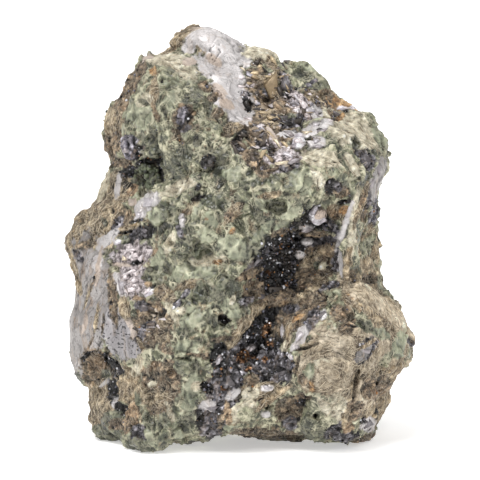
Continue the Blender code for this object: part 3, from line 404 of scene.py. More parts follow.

# Broken plates, listed one by one: (pixel x, pixel y, half length, half width in pixels, turn in degrees
# anticlockwise, lean towards the light from -1 to 1, tone).
PLATE_TONES = {
    "soot": (46, 42, 40),
    "umber": (78, 72, 68),
    "brown": (120, 106, 92),
    "tan": (152, 134, 108),
    "sand": (192, 174, 144),
    "cream": (220, 208, 186),
    "white": (228, 220, 226),
    "silver": (196, 192, 200),
    "grey": (164, 158, 164),
    "steel": (124, 120, 126),
    "slate": (96, 92, 96),
}
PLATES = [
    # the stairs, from the top down
    (273, 60, 9, 3, -58, 0.4, "sand"), (257, 62, 6, 3, 20, -0.6, "umber"),
    (261, 67, 10, 2.5, -3, 0.3, "sand"), (244, 70, 7, 2, -25, 0.7, "cream"),
    (253, 73, 9, 2.5, -8, 0.6, "sand"), (270, 77, 10, 3, 2, 0.6, "sand"), (275, 73, 5, 4, 30, 0.8, "cream"),
    (256, 78, 6, 2, -20, 0.2, "tan"), (265, 82, 5, 3, 30, 0.5, "sand"), (249, 84, 6, 4, 10, 0.6, "sand"),
    (242, 87, 5, 2.5, -20, 0.8, "white"), (269, 84, 5, 4, 60, 0.9, "white"),
    (275, 89, 17, 8, 92, 0.1, "tan"), (283, 75, 8, 4, 70, 0.1, "tan"), (286, 86, 16, 7, -66, -0.2, "slate"),
    (281, 94, 10, 3, -75, -0.6, "soot"), (290, 92, 10, 2, -60, 0.4, "tan"), (267, 91, 4, 3, 0, 0.2, "grey"),
    (246, 94, 5, 4, 80, 0.5, "steel"), (247, 104, 7, 4, 95, -0.4, "soot"),
    (256, 94, 6, 3, 40, -0.3, "umber"), (262, 103, 9, 2.5, -40, 0.1, "tan"),
    (268, 107, 8, 2, -50, 0.1, "brown"), (256, 106, 5, 3, 0, -0.6, "soot"),
    (262, 113, 10, 3, -22, 0.6, "sand"), (272, 118, 6, 3, -40, 0.5, "sand"),
    (250, 119, 6, 2.5, -5, 0.8, "white"), (298, 99, 8, 3, -62, 0.7, "silver"),
    (303, 104, 7, 4, -55, 0.8, "white"), (309, 94, 5, 2, -20, 0.9, "white"),
    (292, 104, 7, 4, -15, 0.2, "steel"), (302, 111, 6, 4, -20, -0.3, "umber"),
    (308, 110, 6, 4, -70, 0.6, "silver"), (317, 114, 6, 4, 80, 0.3, "grey"),
    (284, 111, 5, 3, 0, 0.2, "brown"), (284, 118, 7, 2.5, -10, 0.1, "slate"),
    (296, 122, 8, 4, 15, -0.4, "umber"), (288, 124, 6, 3, 0, -0.6, "soot"),
    (313, 125, 10, 3.5, 12, 0.8, "silver"), (322, 131, 7, 3, 30, 0.8, "grey"),
    (289, 134, 9, 4, 5, 0.7, "grey"), (299, 142, 7, 6, 75, 0.9, "white"),
    (316, 141, 5, 4, 20, 0.7, "silver"), (318, 147, 6, 2.5, 5, 0.4, "grey"),
    (306, 133, 6, 2, -10, 0.6, "cream"), (262, 128, 9, 2.5, -62, 0.5, "silver"),
    (257, 136, 10, 6, -60, 0.1, "brown"), (264, 140, 9, 3.5, 80, -0.5, "umber"),
    (270, 134, 8, 2, -70, 0.3, "sand"), (246, 133, 6, 4, 40, -0.2, "umber"),
    (244, 146, 8, 3, -40, 0.1, "brown"), (236, 152, 10, 3.5, -62, -0.5, "umber"),
    (253, 147, 6, 3, -60, 0.2, "tan"), (277, 143, 8, 3.5, -30, 0.8, "cream"),
    (286, 146, 9, 3, -42, 0.6, "sand"), (272, 147, 6, 2, -20, 0.1, "brown"),
    (277, 155, 9, 3, -20, 0.8, "white"), (288, 155, 8, 3, -30, 0.6, "silver"),
    (281, 163, 10, 3, 12, 0.7, "cream"), (269, 158, 7, 3, -45, 0.2, "tan"),
    (293, 161, 7, 2.5, 25, 0.3, "grey"), (254, 160, 8, 4, -60, -0.3, "umber"),
    (262, 168, 7, 3, 30, -0.2, "slate"), (275, 169, 9, 3, 15, 0.0, "brown"),
    (263, 153, 8, 2, 62, 0.4, "sand"), (336, 114, 8, 4, -55, 0.1, "slate"),
    (346, 109, 6, 2, 15, 0.8, "white"),
    # the left shoulder and sheets
    (149, 201, 12, 7, 35, 0.7, "silver"), (140, 214, 8, 4, 30, 0.7, "silver"),
    (136, 224, 7, 3, 20, 0.2, "tan"), (143, 232, 9, 4, 40, 0.5, "steel"), (134, 250, 9, 4, 25, 0.8, "white"),
    (127, 257, 8, 4, 10, 0.7, "cream"), (140, 259, 6, 4, 60, 0.7, "white"),
    (131, 272, 9, 3, 15, 0.8, "white"), (125, 280, 9, 3, 70, 0.5, "silver"),
    (135, 280, 8, 4, 40, 0.8, "white"), (130, 289, 8, 3, 20, 0.7, "white"),
    (140, 277, 5, 3, -40, 0.4, "grey"), (121, 288, 12, 2.5, 112, 0.3, "grey"),
    (148, 291, 6, 2.5, 40, 0.8, "white"), (113, 255, 10, 4, 80, 0.6, "grey"),
    (144, 308, 8, 5, 30, -0.1, "slate"),
    # the cleft
    (300, 336, 9, 5, 70, 0.7, "silver"), (297, 346, 5, 3, 50, 0.5, "silver"),
    (322, 315, 6, 3, 60, 0.5, "steel"), (282, 331, 7, 1.6, 85, 0.6, "silver"),
    (307, 230, 7, 3, 10, 0.4, "grey"), (325, 228, 9, 3, -50, 0.3, "steel"),
    (251, 349, 5, 2.5, 30, 0.9, "white"), (219, 361, 5, 3, 50, 0.9, "silver"),
    (267, 388, 6, 3, 0, 0.8, "silver"), (233, 380, 10, 7, 20, 0.1, "slate"),
    (270, 366, 12, 9, 10, 0.1, "slate"), (282, 372, 7, 5, -20, 0.2, "slate"),
    (246, 300, 6, 3, 25, 0.7, "grey"), (258, 261, 8, 2.5, 40, 0.4, "steel"),
    (291, 357, 3, 2, -50, 0.9, "white"), (212, 408, 7, 4, 10, 0.3, "steel"),
    (274, 290, 12, 6, 12, 0.0, "umber"), (262, 296, 8, 5, 20, 0.2, "slate"),
    # the steel grey lumps and the black one
    (180, 111, 5, 3, 60, 0.5, "steel"), (187, 113, 4, 3, -30, -0.4, "soot"),
    (181, 119, 5, 3, 40, 0.3, "slate"), (186, 122, 4, 2.5, 80, -0.2, "umber"),
    (124, 143, 5, 4, 20, 0.7, "grey"), (131, 141, 5, 3, -20, 0.2, "steel"),
    (137, 147, 4, 3, 60, -0.4, "soot"), (127, 151, 5, 3, 10, 0.5, "grey"),
    (134, 154, 5, 3, -30, 0.2, "slate"), (206, 160, 4, 3, 40, -0.5, "soot"),
    (211, 165, 4, 3, -20, -0.2, "umber"),
    # the right
    (366, 160, 9, 6, 100, -0.1, "slate"), (378, 168, 10, 5, 75, 0.4, "grey"),
    (372, 182, 12, 4, 68, 0.4, "grey"), (382, 184, 8, 3, 70, 0.3, "grey"),
    (366, 350, 12, 6, 55, 0.4, "grey"), (368, 424, 9, 7, -20, 0.4, "steel"),
    (114, 402, 5, 2.5, 85, 0.7, "silver"),
]  # fmt: skip
PLATE_THICKNESS = 0.4  # mm

# Small pieces on the rock: how many of each, and their least and greatest size in mm.
FLAKES, FLAKE_SIZE, FLAKE_THICKNESS = 560, (0.6, 1.7), (0.15, 0.35)
SHARDS, SHARD_SIZE, SHARD_THICKNESS = 230, (0.8, 2.2), (0.15, 0.25)
SHARD_TONES = [  # colour from 0 to 255, metallic
    ((56, 50, 48), 0.1), ((106, 95, 88), 0.1), ((146, 130, 110), 0.0), ((186, 174, 158), 0.0),
    ((212, 203, 203), 0.15), ((160, 156, 163), 0.2),
]  # fmt: skip
SHARD_SHARES = [0.30, 0.22, 0.16, 0.12, 0.12, 0.08]
GRAINS, CLEFT_GRAINS, GRAIN_SIZE = 1500, 520, (0.18, 0.55)
DRUSE = (147, 176, 12, 150)  # round grains in the dark hollow: pixel x, y, reach in pixels, how many
DRUSE_SIZE = (0.3, 0.75)
FIBRES, FIBRE_LENGTH, FIBRE_WIDTH = 3400, (1.6, 5.0), 0.075
FIBRE_JOINTS, FIBRE_BEND = 6, 0.11

# Parts of the front, as ellipses: (pixel x, pixel y, half width, half height).
STAIRS = [(268, 95, 32, 48), (300, 118, 30, 36), (262, 150, 34, 24), (148, 322, 18, 20)]
CLEFT = [(288, 265, 34, 34), (262, 335, 26, 40), (232, 385, 24, 36)]

SURFACE = "ore_surface"  # the material's name
BITS_GRIT, BITS_PLATED = 0.3, 0.35  # the finish of the small pieces
BITS_BRIGHTEST = 0.85


def linear(colour):
    """A 0 to 255 screen colour as linear red, green and blue."""
    c = np.asarray(colour, float) / 255
    return np.where(c <= 0.04045, c / 12.92, ((c + 0.055) / 1.055) ** 2.4)


def smooth_step(low, high, x):
    t = np.clip((x - low) / (high - low), 0, 1)
    return t * t * (3 - 2 * t)


# The camera


def pixels(points, centre):
    """Where the camera sees each point, in picture pixels."""
    off = points - np.array(centre)
    scale = DISTANCE / (DISTANCE + off @ np.array(INTO)) / PIXEL
    x = PICTURE / 2 + off @ np.array(RIGHT) * scale
    y = PICTURE / 2 - off @ np.array(UP) * scale
    return np.stack([x, y], 1)


def picture_centre(points):
    """The point that the camera aims at, so that the rock's outline has its middle at ROCK_MIDDLE."""
    centre = Vector((points.min(0) + points.max(0)) / 2)
    for _ in range(4):
        seen = pixels(points, centre)
        off = (seen.min(0) + seen.max(0)) / 2 - np.array(ROCK_MIDDLE)
        centre = centre + (RIGHT * off[0] - UP * off[1]) * PIXEL
    return centre


def aim_point(x, y, centre):
    """The point seen at a pixel, on the upright plane through the picture's centre."""
    return centre + (RIGHT * (x - PICTURE / 2) + UP * (PICTURE / 2 - y)) * PIXEL


def seen_at(tree, x, y, centre):
    """(the rock's point seen at a pixel, its normal), both None beside the rock."""
    eye = centre - INTO * DISTANCE
    return tree.ray_cast(eye, (aim_point(x, y, centre) - eye).normalized())[:2]


def picture_ways(turn):
    """The directions (along, across) of a shape turned anticlockwise in the picture, in degrees."""
    angle = math.radians(turn)
    along = RIGHT * math.cos(angle) + UP * math.sin(angle)
    across = UP * math.cos(angle) - RIGHT * math.sin(angle)
    return along, across


def in_ellipses(ellipses, places, centre):
    """Which places in mm are seen in any of the ellipses (pixel x, pixel y, half width, half height)."""
    seen_x, seen_y = pixels(places * MM, centre).T
    found = np.zeros(len(places), bool)
    for x, y, half_width, half_height in ellipses:
        found |= np.hypot((seen_x - x) / half_width, (seen_y - y) / half_height) < 1
    return found


def add_camera(centre):
    data = bpy.data.cameras.new("camera")
    data.sensor_width = SENSOR
    data.lens = data.sensor_width * DISTANCE / (PICTURE * PIXEL)
    data.clip_start, data.clip_end = 0.1, 20
    camera = bpy.data.objects.new("camera", data)
    camera.location = centre - INTO * DISTANCE
    camera.rotation_mode = "QUATERNION"
    camera.rotation_quaternion = INTO.to_track_quat("-Z", "Y")
    bpy.context.scene.collection.objects.link(camera)
    bpy.context.scene.camera = camera


# The fine surface and its noise


def fine_mesh(source):
    """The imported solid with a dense, even, slightly rounded surface."""
    rock = bpy.data.objects.new("fine_rock", source.data.copy())
    bpy.context.scene.collection.objects.link(rock)
    remesh = rock.modifiers.new("even_out", "REMESH")
    remesh.mode, remesh.voxel_size = "VOXEL", VOXEL * MM
    smooth = rock.modifiers.new("round_off", "SMOOTH")
    smooth.factor, smooth.iterations = 0.5, ROUNDING_PASSES
    bpy.context.view_layer.update()
    mesh = bpy.data.meshes.new_from_object(rock.evaluated_get(bpy.context.evaluated_depsgraph_get()))
    bpy.data.objects.remove(rock)
    return mesh


def arrays_of(mesh):
    """(vertex places in mm, vertex normals, the corners of the quads)."""
    places = np.empty(len(mesh.vertices) * 3)
    mesh.vertices.foreach_get("co", places)
    normals = np.empty(len(mesh.vertices) * 3)
    mesh.vertices.foreach_get("normal", normals)
    quads = np.empty(len(mesh.loops), int)
    mesh.loops.foreach_get("vertex_index", quads)
    return places.reshape(-1, 3) / MM, normals.reshape(-1, 3), quads.reshape(-1, 4)


def smooth_noise(spots, size, seed, octaves=3):
    """Fractal noise with features about size mm across, mostly from -1 to 1."""
    shift = Vector((seed * 7.3, seed * -3.1, seed * 5.7))
    return np.array([noise.fractal(p / size + shift, 0.8, 2.1, octaves) for p in spots])


def warped(spots, size, amount, seed):
    """The spots pushed about by up to amount mm, with waves about size mm long."""
    shift = Vector((seed, -seed, 2 * seed))
    return [p + noise.noise_vector(p / size + shift) * amount for p in spots]


def cell_field(spots, size, seed):
    """(distance to the cell's middle, distance to its edge, cell's own number from 0 to 1), in cell sizes."""
    shift = Vector((seed * 3.3, seed * 9.1, seed * -4.7))
    near, edge, number = [], [], []
    for p in spots:
        distances, points = noise.voronoi(p / size + shift)
        near.append(distances[0])
        edge.append(distances[1] - distances[0])
        number.append(noise.cell(points[0] * 7.7))
    return np.array(near), np.array(edge), np.array(number)


def mixed_cells(spots):
    """Large and small cells in patches: (nearness to the middle, mm to the edge, size in mm, own number)."""
    spots = [Vector((p.x + 0.35 * p.z, p.y, 0.72 * p.z)) for p in spots]  # the cells lean and are drawn out
    large = cell_field(warped(spots, 5, 1.5, 2), LARGE_CELL, 1)
    small = cell_field(warped(spots, 3, 0.7, 13), SMALL_CELL, 14)
    share = smooth_step(-0.12, 0.0, smooth_noise(spots, 7.0, 15))
    size = LARGE_CELL + (SMALL_CELL - LARGE_CELL) * share
    near, edge, number = (a + (b - a) * share for a, b in zip(large, small))
    return near, edge * size, size, number


def shingle_field(spots, size, stretch, seed):
    """Flat ragged plates about size mm across, drawn out along stretch: (height from 0 to 1, mm to the
    plate's border, its own number from 0 to 1)."""
    shift = Vector((seed * 1.7, seed * -6.1, seed * 2.3))
    draw = 1 / stretch.length - 1
    way = stretch.normalized()
    height, border, number = [], [], []
    for p in warped(warped(spots, 3.0, 0.45, seed), 0.9, 0.14, seed + 1):
        q = (p + way * (draw * p.dot(way))) / size + shift
        distances, points = noise.voronoi(q)
        middle = points[0]
        tilt = noise.cell_vector(middle * 5.1)
        height.append(tilt.x + (q - middle).dot(tilt - Vector((0.5, 0.5, 0.5))) * 0.9)
        border.append((distances[1] - distances[0]) * size)
        number.append(tilt.y)
    return np.array(height), np.array(border), np.array(number)


def ridged(spots, size, seed):
    """Noise with narrow ridges, from 0 in the pockets to 1 on the ridges."""
    return 1 - np.clip(np.abs(smooth_noise(spots, size, seed, 2)) / 0.42, 0, 1)


def block_field(spots, size, seed):
    """Tilted flat blocks about size mm across, each at its own height, mostly from -1 to 1."""
    shift = Vector((seed * -5.3, seed * 2.9, seed * 8.3))
    heights = []
    for p in spots:
        q = p / size + shift
        middle = noise.voronoi(q)[1][0]
        tilt = noise.cell_vector(middle * 5.1)
        heights.append((tilt.x + tilt.y - 1) * 0.6 + (q - middle).dot(tilt - Vector((0.5, 0.5, 0.5))) * 2.4)
    return 1.1 * np.tanh(np.array(heights) / 1.1)


def fit_outline(places, centre):
    """Moves the rock's left and right edges sideways by OUTLINE, fading out towards its middle."""
    seen_x, seen_y = pixels(places * MM, centre).T
    table = np.array(OUTLINE)
    row = np.clip(seen_y.astype(int), 0, PICTURE - 1)
    left, right = np.full(PICTURE, np.inf), np.full(PICTURE, -np.inf)
    np.minimum.at(left, row, seen_x)
    np.maximum.at(right, row, seen_x)
    move = np.zeros(len(places))
    for edge, column, side in ((left, 1, 1), (right, 2, -1)):
        inward = (seen_x - edge[row]) * side
        share = 1 - smooth_step(0, OUTLINE_REACH, inward)
        move += np.interp(seen_y, table[:, 0], table[:, column]) * share
    return places + np.outer(move * PIXEL / MM, np.array(RIGHT))


# Zones


class Matter:
    """How much of each zone is at each vertex, which way its fibres run, how far it is lifted and how much
    it is darkened or lightened."""

    def __init__(self, places, normals):
        self.places, self.normals = places, normals
        self.spots = [Vector(p) for p in places]
        self.share = {zone: np.zeros(len(places)) for zone in ZONES}
        self.share["green"][:] = 1
        self.along = np.tile(np.array(RIGHT * 0.35 + UP * 0.94), (len(places), 1))
        self.lift = np.zeros(len(places))
        self.shade = np.ones(len(places))
        self.ragged = 0.20 * smooth_noise(self.spots, 2.4, 3) + 0.12 * smooth_noise(self.spots, 0.9, 4, 2)

    def paint(self, zone, amount, where=slice(None)):
        for other in self.share:
            self.share[other][where] *= 1 - amount
        self.share[zone][where] += amount

    def part(self, *zones):
        """The share of these zones together, from 0 to 1."""
        return sum(self.share[zone] for zone in zones) / sum(self.share.values())

    def blend(self, **weights):
        """The zones' shares, each times its weight, added up."""
        return sum(self.share[zone] * weight for zone, weight in weights.items())


def paint_by_noise(matter, cells):
    """The mix of zones all over the rock, before the front's own features."""
    spots, number, share = matter.spots, cells[3], matter.share
    faces_camera = matter.normals @ -np.array(INTO)
    hidden = 1 - smooth_step(-0.25, 0.1, faces_camera + 0.3 * matter.ragged)
    for zone, size, seed, low, high in HIDDEN_GROUNDS:
        field = smooth_noise(spots, size, seed) + matter.ragged * 0.5
        matter.paint(zone, smooth_step(low, high, field) * hidden)
    tone = smooth_noise(spots, 5.0, 29) + 0.5 * (number - 0.5) + matter.ragged
    matter.paint("deep", smooth_step(0.50, 0.58, -tone) * share["green"])
    matter.paint("pale", smooth_step(0.34, 0.42, tone) * share["green"])
    flecks = smooth_noise(spots, 2.6, 27)
    matter.paint("tan", smooth_step(0.42, 0.50, flecks) * share["green"] * 0.8)
    matter.paint("deep", smooth_step(0.50, 0.58, -flecks) * 0.8 * share["green"])
    matter.paint("brown", smooth_step(0.46, 0.54, smooth_noise(spots, 2.0, 28)) * 0.7 * share["green"])


def paint_features(matter, tree, centre):
    """Puts each listed feature where its pixel meets the rock."""
    seen_x, seen_y = pixels(matter.places * MM, centre).T.copy()
    scale = PIXEL / MM
    for zone, x, y, half_length, half_width, *rest in FEATURES:
        turn, lift = (*rest, 0, 0)[:2]
        spot = seen_at(tree, x, y, centre)[0]
        if spot is None:
            spot = tree.find_nearest(aim_point(x, y, centre))[0]
        along, across = picture_ways(turn)
        longest = max(half_length, half_width)
        span = 1.4 * longest + 4  # pixels around the feature that can be part of it
        close = np.flatnonzero((np.abs(seen_x - x) < span) & (np.abs(seen_y - y) < span))
        off = matter.places[close] - np.array(spot) / MM
        reach = np.hypot(off @ np.array(along) / half_length, off @ np.array(across) / half_width) / scale
        depth = (1.3 * longest + 6) * scale  # mm, so that the rock behind stays as it is
        reach = reach + np.maximum(np.abs(off @ np.array(INTO)) / depth - 1, 0)
        small = min(1, half_width / 5)  # thin features have cleaner edges
        amount = 1 - smooth_step(0.94, 1.06, reach + matter.ragged[close] * (0.4 + 0.8 * small))
        matter.paint(zone, amount, close)
        matter.lift[close] += lift * np.clip(1 - reach**2, 0, 1) + 0.25 * lift * amount
        amount = amount[:, None]
        matter.along[close] = matter.along[close] * (1 - amount) + np.array(along) * amount


def paint_shades(matter, centre):
    """Darkens or lightens the front's stretches."""
    seen_x, seen_y = pixels(matter.places * MM, centre).T
    facing = smooth_step(-0.2, 0.2, matter.normals @ -np.array(INTO))
    for x, y, half_length, half_width, turn, bright in SHADES:
        angle = math.radians(turn)
        off_x, off_y = seen_x - x, y - seen_y
        along = off_x * math.cos(angle) + off_y * math.sin(angle)
        across = off_y * math.cos(angle) - off_x * math.sin(angle)
        reach = np.hypot(along / half_length, across / half_width) + 0.5 * matter.ragged
        matter.shade *= 1 + (bright - 1) * (1 - smooth_step(0.7, 1.25, reach)) * facing


# Relief and colour


class Layers:
    """The noise at each vertex that the relief and the tones are made of."""

    def __init__(self, matter, cells):
        spots = matter.spots
        self.near, edge, cell_size, self.number = cells
        self.fine, self.tiny = smooth_noise(spots, 1.5, 31), smooth_noise(spots, 0.7, 32, 2)
        self.broad, self.felt = smooth_noise(spots, 7.0, 33), smooth_noise(spots, 3.4, 67, 2)
        self.large, self.small = block_field(spots, 4.2, 5), block_field(spots, 1.9, 6)
        self.facets = block_field(spots, 0.95, 7)
        self.plated = matter.part("silver", "lead", "speckled", "peach", "pearl")
        self.steel = matter.part("steel")

        # the sheets: plates drawn out across on the top and down on the left, with seams between them
        down = np.clip(matter.part("lead", "speckled") * 2, 0, 1)
        top, left = shingle_field(spots, 4.2, SHEET_WAY, 61), shingle_field(spots, 3.4, UP * 4.0, 63)
        self.shingles, seam, self.sheet = (a + (b - a) * down for a, b in zip(top, left))
        seam = np.exp(-((seam / 0.20) ** 2)) * np.clip(0.45 + 1.1 * smooth_noise(spots, 2.6, 64, 2), 0, 1)
        self.seam = seam * self.plated
        self.crumple = ridged(warped(spots, 2.0, 0.5, 65), 1.5, 66) ** 3
        self.crease = self.crumple * matter.part("crinkled", "steel")

        # the serpentine's scooped cells with their rims, and the webbed ridges of the fibrous parts
        self.rim = np.exp(-((edge / 0.30) ** 2))
        self.rim *= np.clip(0.75 + 0.9 * smooth_noise(spots, 2.2, 36, 2), 0.1, 1.3)
        self.scoops = cell_size * (0.30 * np.minimum(self.near, 0.8) ** 2 - 0.07) + 0.22 * self.rim
        self.ridges = 0.65 * ridged(warped(spots, 3.0, 0.8, 37), 5.0, 38) + 0.35 * ridged(spots, 2.3, 39)
        self.web = smooth_step(0.44, 0.76, self.ridges + 0.12 * self.fine)

        crack = np.abs(smooth_noise(warped(spots, 2.5, 0.9, 10), 8.0, 35)) + 0.012 * self.fine
        self.crack = (1 - smooth_step(0.006, 0.022, crack)) * smooth_step(-0.1, 0.2, self.broad)
        pits = (1 - smooth_step(0.16, 0.24, self.near)) * (self.number > 0.90)
        self.pits = pits * matter.part("green", "tan", "cream")


def shaped(matter, layers, quads):
    """Moves the vertices by their zones' relief. Returns (places, the relief in mm)."""
    level = evened_places(matter.places, quads, FLAT_PASSES)
    ground = matter.places + (level - matter.places) * (FLAT_SHARE * layers.plated[:, None])
    parts = np.stack([
        layers.scoops, 1.3 * (layers.ridges - 0.55), layers.large, layers.small, layers.facets,
        layers.shingles - 0.5, layers.fine + 0.5 * layers.tiny,
    ])  # fmt: skip
    relief = sum(matter.part(zone) * (np.array(RELIEF[zone]) @ parts) for zone in ZONES)
    relief = relief + matter.lift - CRACK_DEPTH * layers.crack
    relief -= PIT_DEPTH * layers.pits + SEAM_DEPTH * layers.seam + CREASE_DEPTH * layers.crease
    places = ground + matter.normals * relief[:, None]
    places[:, 2] = np.maximum(places[:, 2], 0)
    return places, relief


def evened(values, quads, passes):
    """The values averaged with their neighbours' along the quads' sides, a few times over."""
    starts = quads.ravel()
    ends = np.roll(quads, -1, axis=1).ravel()
    size = len(values)
    count = np.bincount(starts, minlength=size) + np.bincount(ends, minlength=size)
    for _ in range(passes):
        around = np.bincount(starts, values[ends], size) + np.bincount(ends, values[starts], size)
        values = 0.4 * values + 0.6 * around / count
    return values


def evened_places(places, quads, passes):
    return np.stack([evened(places[:, axis], quads, passes) for axis in range(3)], 1)


def painted_shading(matter, layers, places, relief, quads):
    """The painted light at each vertex: painted shade in hollows, seams and creases, a painted highlight
    where it stands out, times the front's darker or lighter stretches.
    """
    sunk = ((evened_places(places, quads, HOLLOW_PASSES) - places) * matter.normals).sum(1)
    sunk = np.clip(sunk / HOLLOW_DEPTH, -1, 1)
    proud = np.clip((relief - evened(relief, quads, PROUD_PASSES)) / PROUD_HEIGHT, -1.5, 1.5)
    proud = proud * (1 - 0.6 * layers.plated)
    painted_light = np.where(proud > 0, 1 + 0.28 * proud, 1 + 0.52 * proud) * (1 - 0.32 * sunk)
    painted_light = painted_light * (1 - 0.30 * layers.seam) * (1 - 0.5 * layers.crumple * layers.steel) * matter.shade
    return np.clip(painted_light, 0.25, 1.6)


def zone_tones(layers):
    """Where each zone's colour lies at each vertex, from its dark one (0) to its light one (1)."""
    at = layers
    tones = {
        "green": 0.30 + 0.13 * at.web + 0.18 * (at.number - 0.5) + 0.20 * at.rim + 0.03 * at.fine
        + 0.18 * at.broad + 0.06 * at.near,
        "tan": 0.20 + 0.42 * at.ridges + 0.48 * at.fine + 0.22 * at.tiny + 0.30 * at.broad,
        "wool": 0.46 + 0.22 * at.ridges + 0.25 * at.fine + 0.12 * at.tiny + 0.45 * at.broad + 0.20 * at.felt,
        "silver": 0.55 + 0.36 * (at.sheet - 0.5) + 0.05 * at.fine + 0.04 * at.tiny + 0.12 * at.broad,
        "crinkled": 0.60 - 0.40 * at.crumple + 0.22 * at.small + 0.16 * at.facets + 0.10 * at.fine,
        "brown": 0.45 + 0.35 * at.small + 0.4 * at.fine + 0.3 * at.facets + 0.3 * at.tiny,
        "black": 0.35 + 0.4 * at.facets + 0.3 * at.fine + 0.3 * at.tiny,
    }  # fmt: skip
    tones.update({zone: tones[leader] for zone, leader in FOLLOWS.items()})
    tones["steel"] = tones["steel"] + 0.15
    return {zone: np.clip(tone, 0, 1) for zone, tone in tones.items()}


def coloured(matter, layers, painted_light):
    """The colour and finish at each vertex, with the painted light and shade put into the colour."""
    size = len(painted_light)
    tones = zone_tones(layers)
    colour = np.zeros((size, 3))
    metallic, roughness, grit = np.zeros(size), np.zeros(size), np.zeros(size)
    finish = np.zeros((len(FINISHES), size))
    for zone, (dark, middle, light, metal, rough, grain) in ZONES.items():
        tone = tones[zone][:, None]
        low = linear(dark) + (linear(middle) - linear(dark)) * np.clip(tone * 2, 0, 1)
        mixed = low + (linear(light) - linear(middle)) * np.clip(tone * 2 - 1, 0, 1)
        part = matter.part(zone)
        colour += mixed * part[:, None]
        metallic += metal * part
        roughness += (rough + 0.12 * tones[zone] * (zone not in EVEN_GLOSS)) * part
        grit += grain * part
        finish += np.outer(FINISH[zone], part)
    # painted shade in the cracks and pits, which also dulls their metal
    pit_and_crack_shade = np.clip(1 - 0.75 * layers.crack - 0.45 * layers.pits, 0.15, 1)
    colour = np.clip(colour * (pit_and_crack_shade * painted_light)[:, None], 0, 0.9)
    finish[0] *= 0.6 + 0.4 * layers.web
    roughness += 0.15 * finish[0]
    fields = {"colour": colour, "metal": metallic * pit_and_crack_shade, "rough": roughness, "grit": grit}
    fields.update(zip(FINISHES, finish))
    return fields


# Meshes


def mesh_piece(name, places, faces, normals=None, **fields):
    """A rock piece from arrays in mm, with its colour and finish stored at its vertices."""
    mesh = bpy.data.meshes.new(name)
    mesh.vertices.add(len(places))
    mesh.vertices.foreach_set("co", (places * MM).ravel())
    sides = faces.shape[1]
    mesh.loops.add(faces.size)
    mesh.loops.foreach_set("vertex_index", faces.ravel())
    mesh.polygons.add(len(faces))
    mesh.polygons.foreach_set("loop_start", np.arange(len(faces)) * sides)
    mesh.update(calc_edges=True)
    mesh.validate()
    colour = fields.pop("colour")
    tint = mesh.attributes.new("tint", "FLOAT_COLOR", "POINT")
    tint.data.foreach_set("color", np.hstack([colour, np.ones((len(colour), 1))]).ravel())
    for key, values in fields.items():
        layer = mesh.attributes.new(key, "FLOAT", "POINT")
        layer.data.foreach_set("value", values)
    if normals is not None:
        mesh.polygons.foreach_set("use_smooth", np.ones(len(faces), bool))
        mesh.normals_split_custom_set(normals)
    mesh.materials.append(bpy.data.materials[SURFACE])
    piece = bpy.data.objects.new(name, mesh)
    bpy.context.scene.collection.objects.link(piece)
    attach(piece, "root")
    return piece


def unit(vectors):
    return vectors / np.maximum(np.linalg.norm(vectors, axis=-1, keepdims=True), 1e-9)


def corner_normals(places, quads, crisp):
    """(normals for each quad's corners, smooth where crisp is 0 and flat where it is 1; smooth normals)."""
    a, b, c, d = (places[quads[:, i]] for i in range(4))
    flat = np.cross(c - a, d - b)
    smooth = np.zeros_like(places)
    for i in range(4):
        np.add.at(smooth, quads[:, i], flat)
    smooth, flat = unit(smooth), unit(flat)
    sharp = crisp[quads][:, :, None]
    corners = unit(smooth[quads] * (1 - sharp) + flat[:, None, :] * sharp)
    return corners.reshape(-1, 3), smooth


def add_rock(places, quads, normals, fields):
    """The rock's fine surface as PIECES upright slices. The CAD solid is hidden once the first one is made.
    """
    middles = places[quads].mean(1)
    cuts = np.quantile(middles[:, 0], np.linspace(0, 1, PIECES + 1))
    owner = np.clip(np.searchsorted(cuts, middles[:, 0]) - 1, 0, PIECES - 1)
    corners = normals.reshape(-1, 4, 3)
    for number in range(PIECES):
        mine = owner == number
        used, renumbered = np.unique(quads[mine], return_inverse=True)
        part = {key: values[used] for key, values in fields.items()}
        slice_normals = corners[mine].reshape(-1, 3)
        piece = mesh_piece(f"rock_{number}", places[used], renumbered.reshape(-1, 4), slice_normals, **part)
        if number == 0:
            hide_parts("nickel_ore")


class Bits:
    """Collects small polyhedra into one mesh."""

    def __init__(self):
        self.places, self.faces, self.fields = [], [], []

    def add(self, places, faces, colour, metallic, roughness):
        """Adds one, unless it reaches below the floor."""
        if places[:, 2].min() < 0:
            return
        start = sum(len(p) for p in self.places)
        self.places.append(places)
        self.faces.append(np.asarray(faces) + start)
        self.fields.append((len(places), tuple(colour), metallic, roughness))

    def mesh(self, name):
        counts = [f[0] for f in self.fields]
        spread = [np.repeat(np.array([f[i] for f in self.fields]), counts, axis=0) for i in (1, 2, 3)]
        mesh_piece(
            name, np.vstack(self.places), np.vstack(self.faces),
            colour=spread[0], metal=spread[1], rough=spread[2], grit=np.full(sum(counts), BITS_GRIT),
            plated=np.full(sum(counts), BITS_PLATED),
        )  # fmt: skip


def prism(sides, rng):
    """An irregular thin prism of radius 1 and thickness 1: (places, triangles)."""
    turns = np.sort(rng.uniform(0, 2 * math.pi, sides) * 0.35 + np.arange(sides) * 2 * math.pi / sides * 0.9)
    radii = rng.uniform(0.6, 1.0, sides)
    x, y = radii * np.cos(turns), radii * np.sin(turns) * rng.uniform(0.5, 0.9)
    ring = np.stack([x, y, np.zeros(sides)], 1)
    low, high = ring + [0, 0, -0.5], ring * rng.uniform(0.75, 0.95) + [0, 0, 0.5]
    faces = []
    for i in range(sides):
        j = (i + 1) % sides
        faces += [(i, j, sides + j), (i, sides + j, sides + i)]
    faces += [(sides, sides + i, sides + i + 1) for i in range(1, sides - 1)]
    faces += [(0, i + 1, i) for i in range(1, sides - 1)]
    return np.vstack([low, high]), np.array(faces)


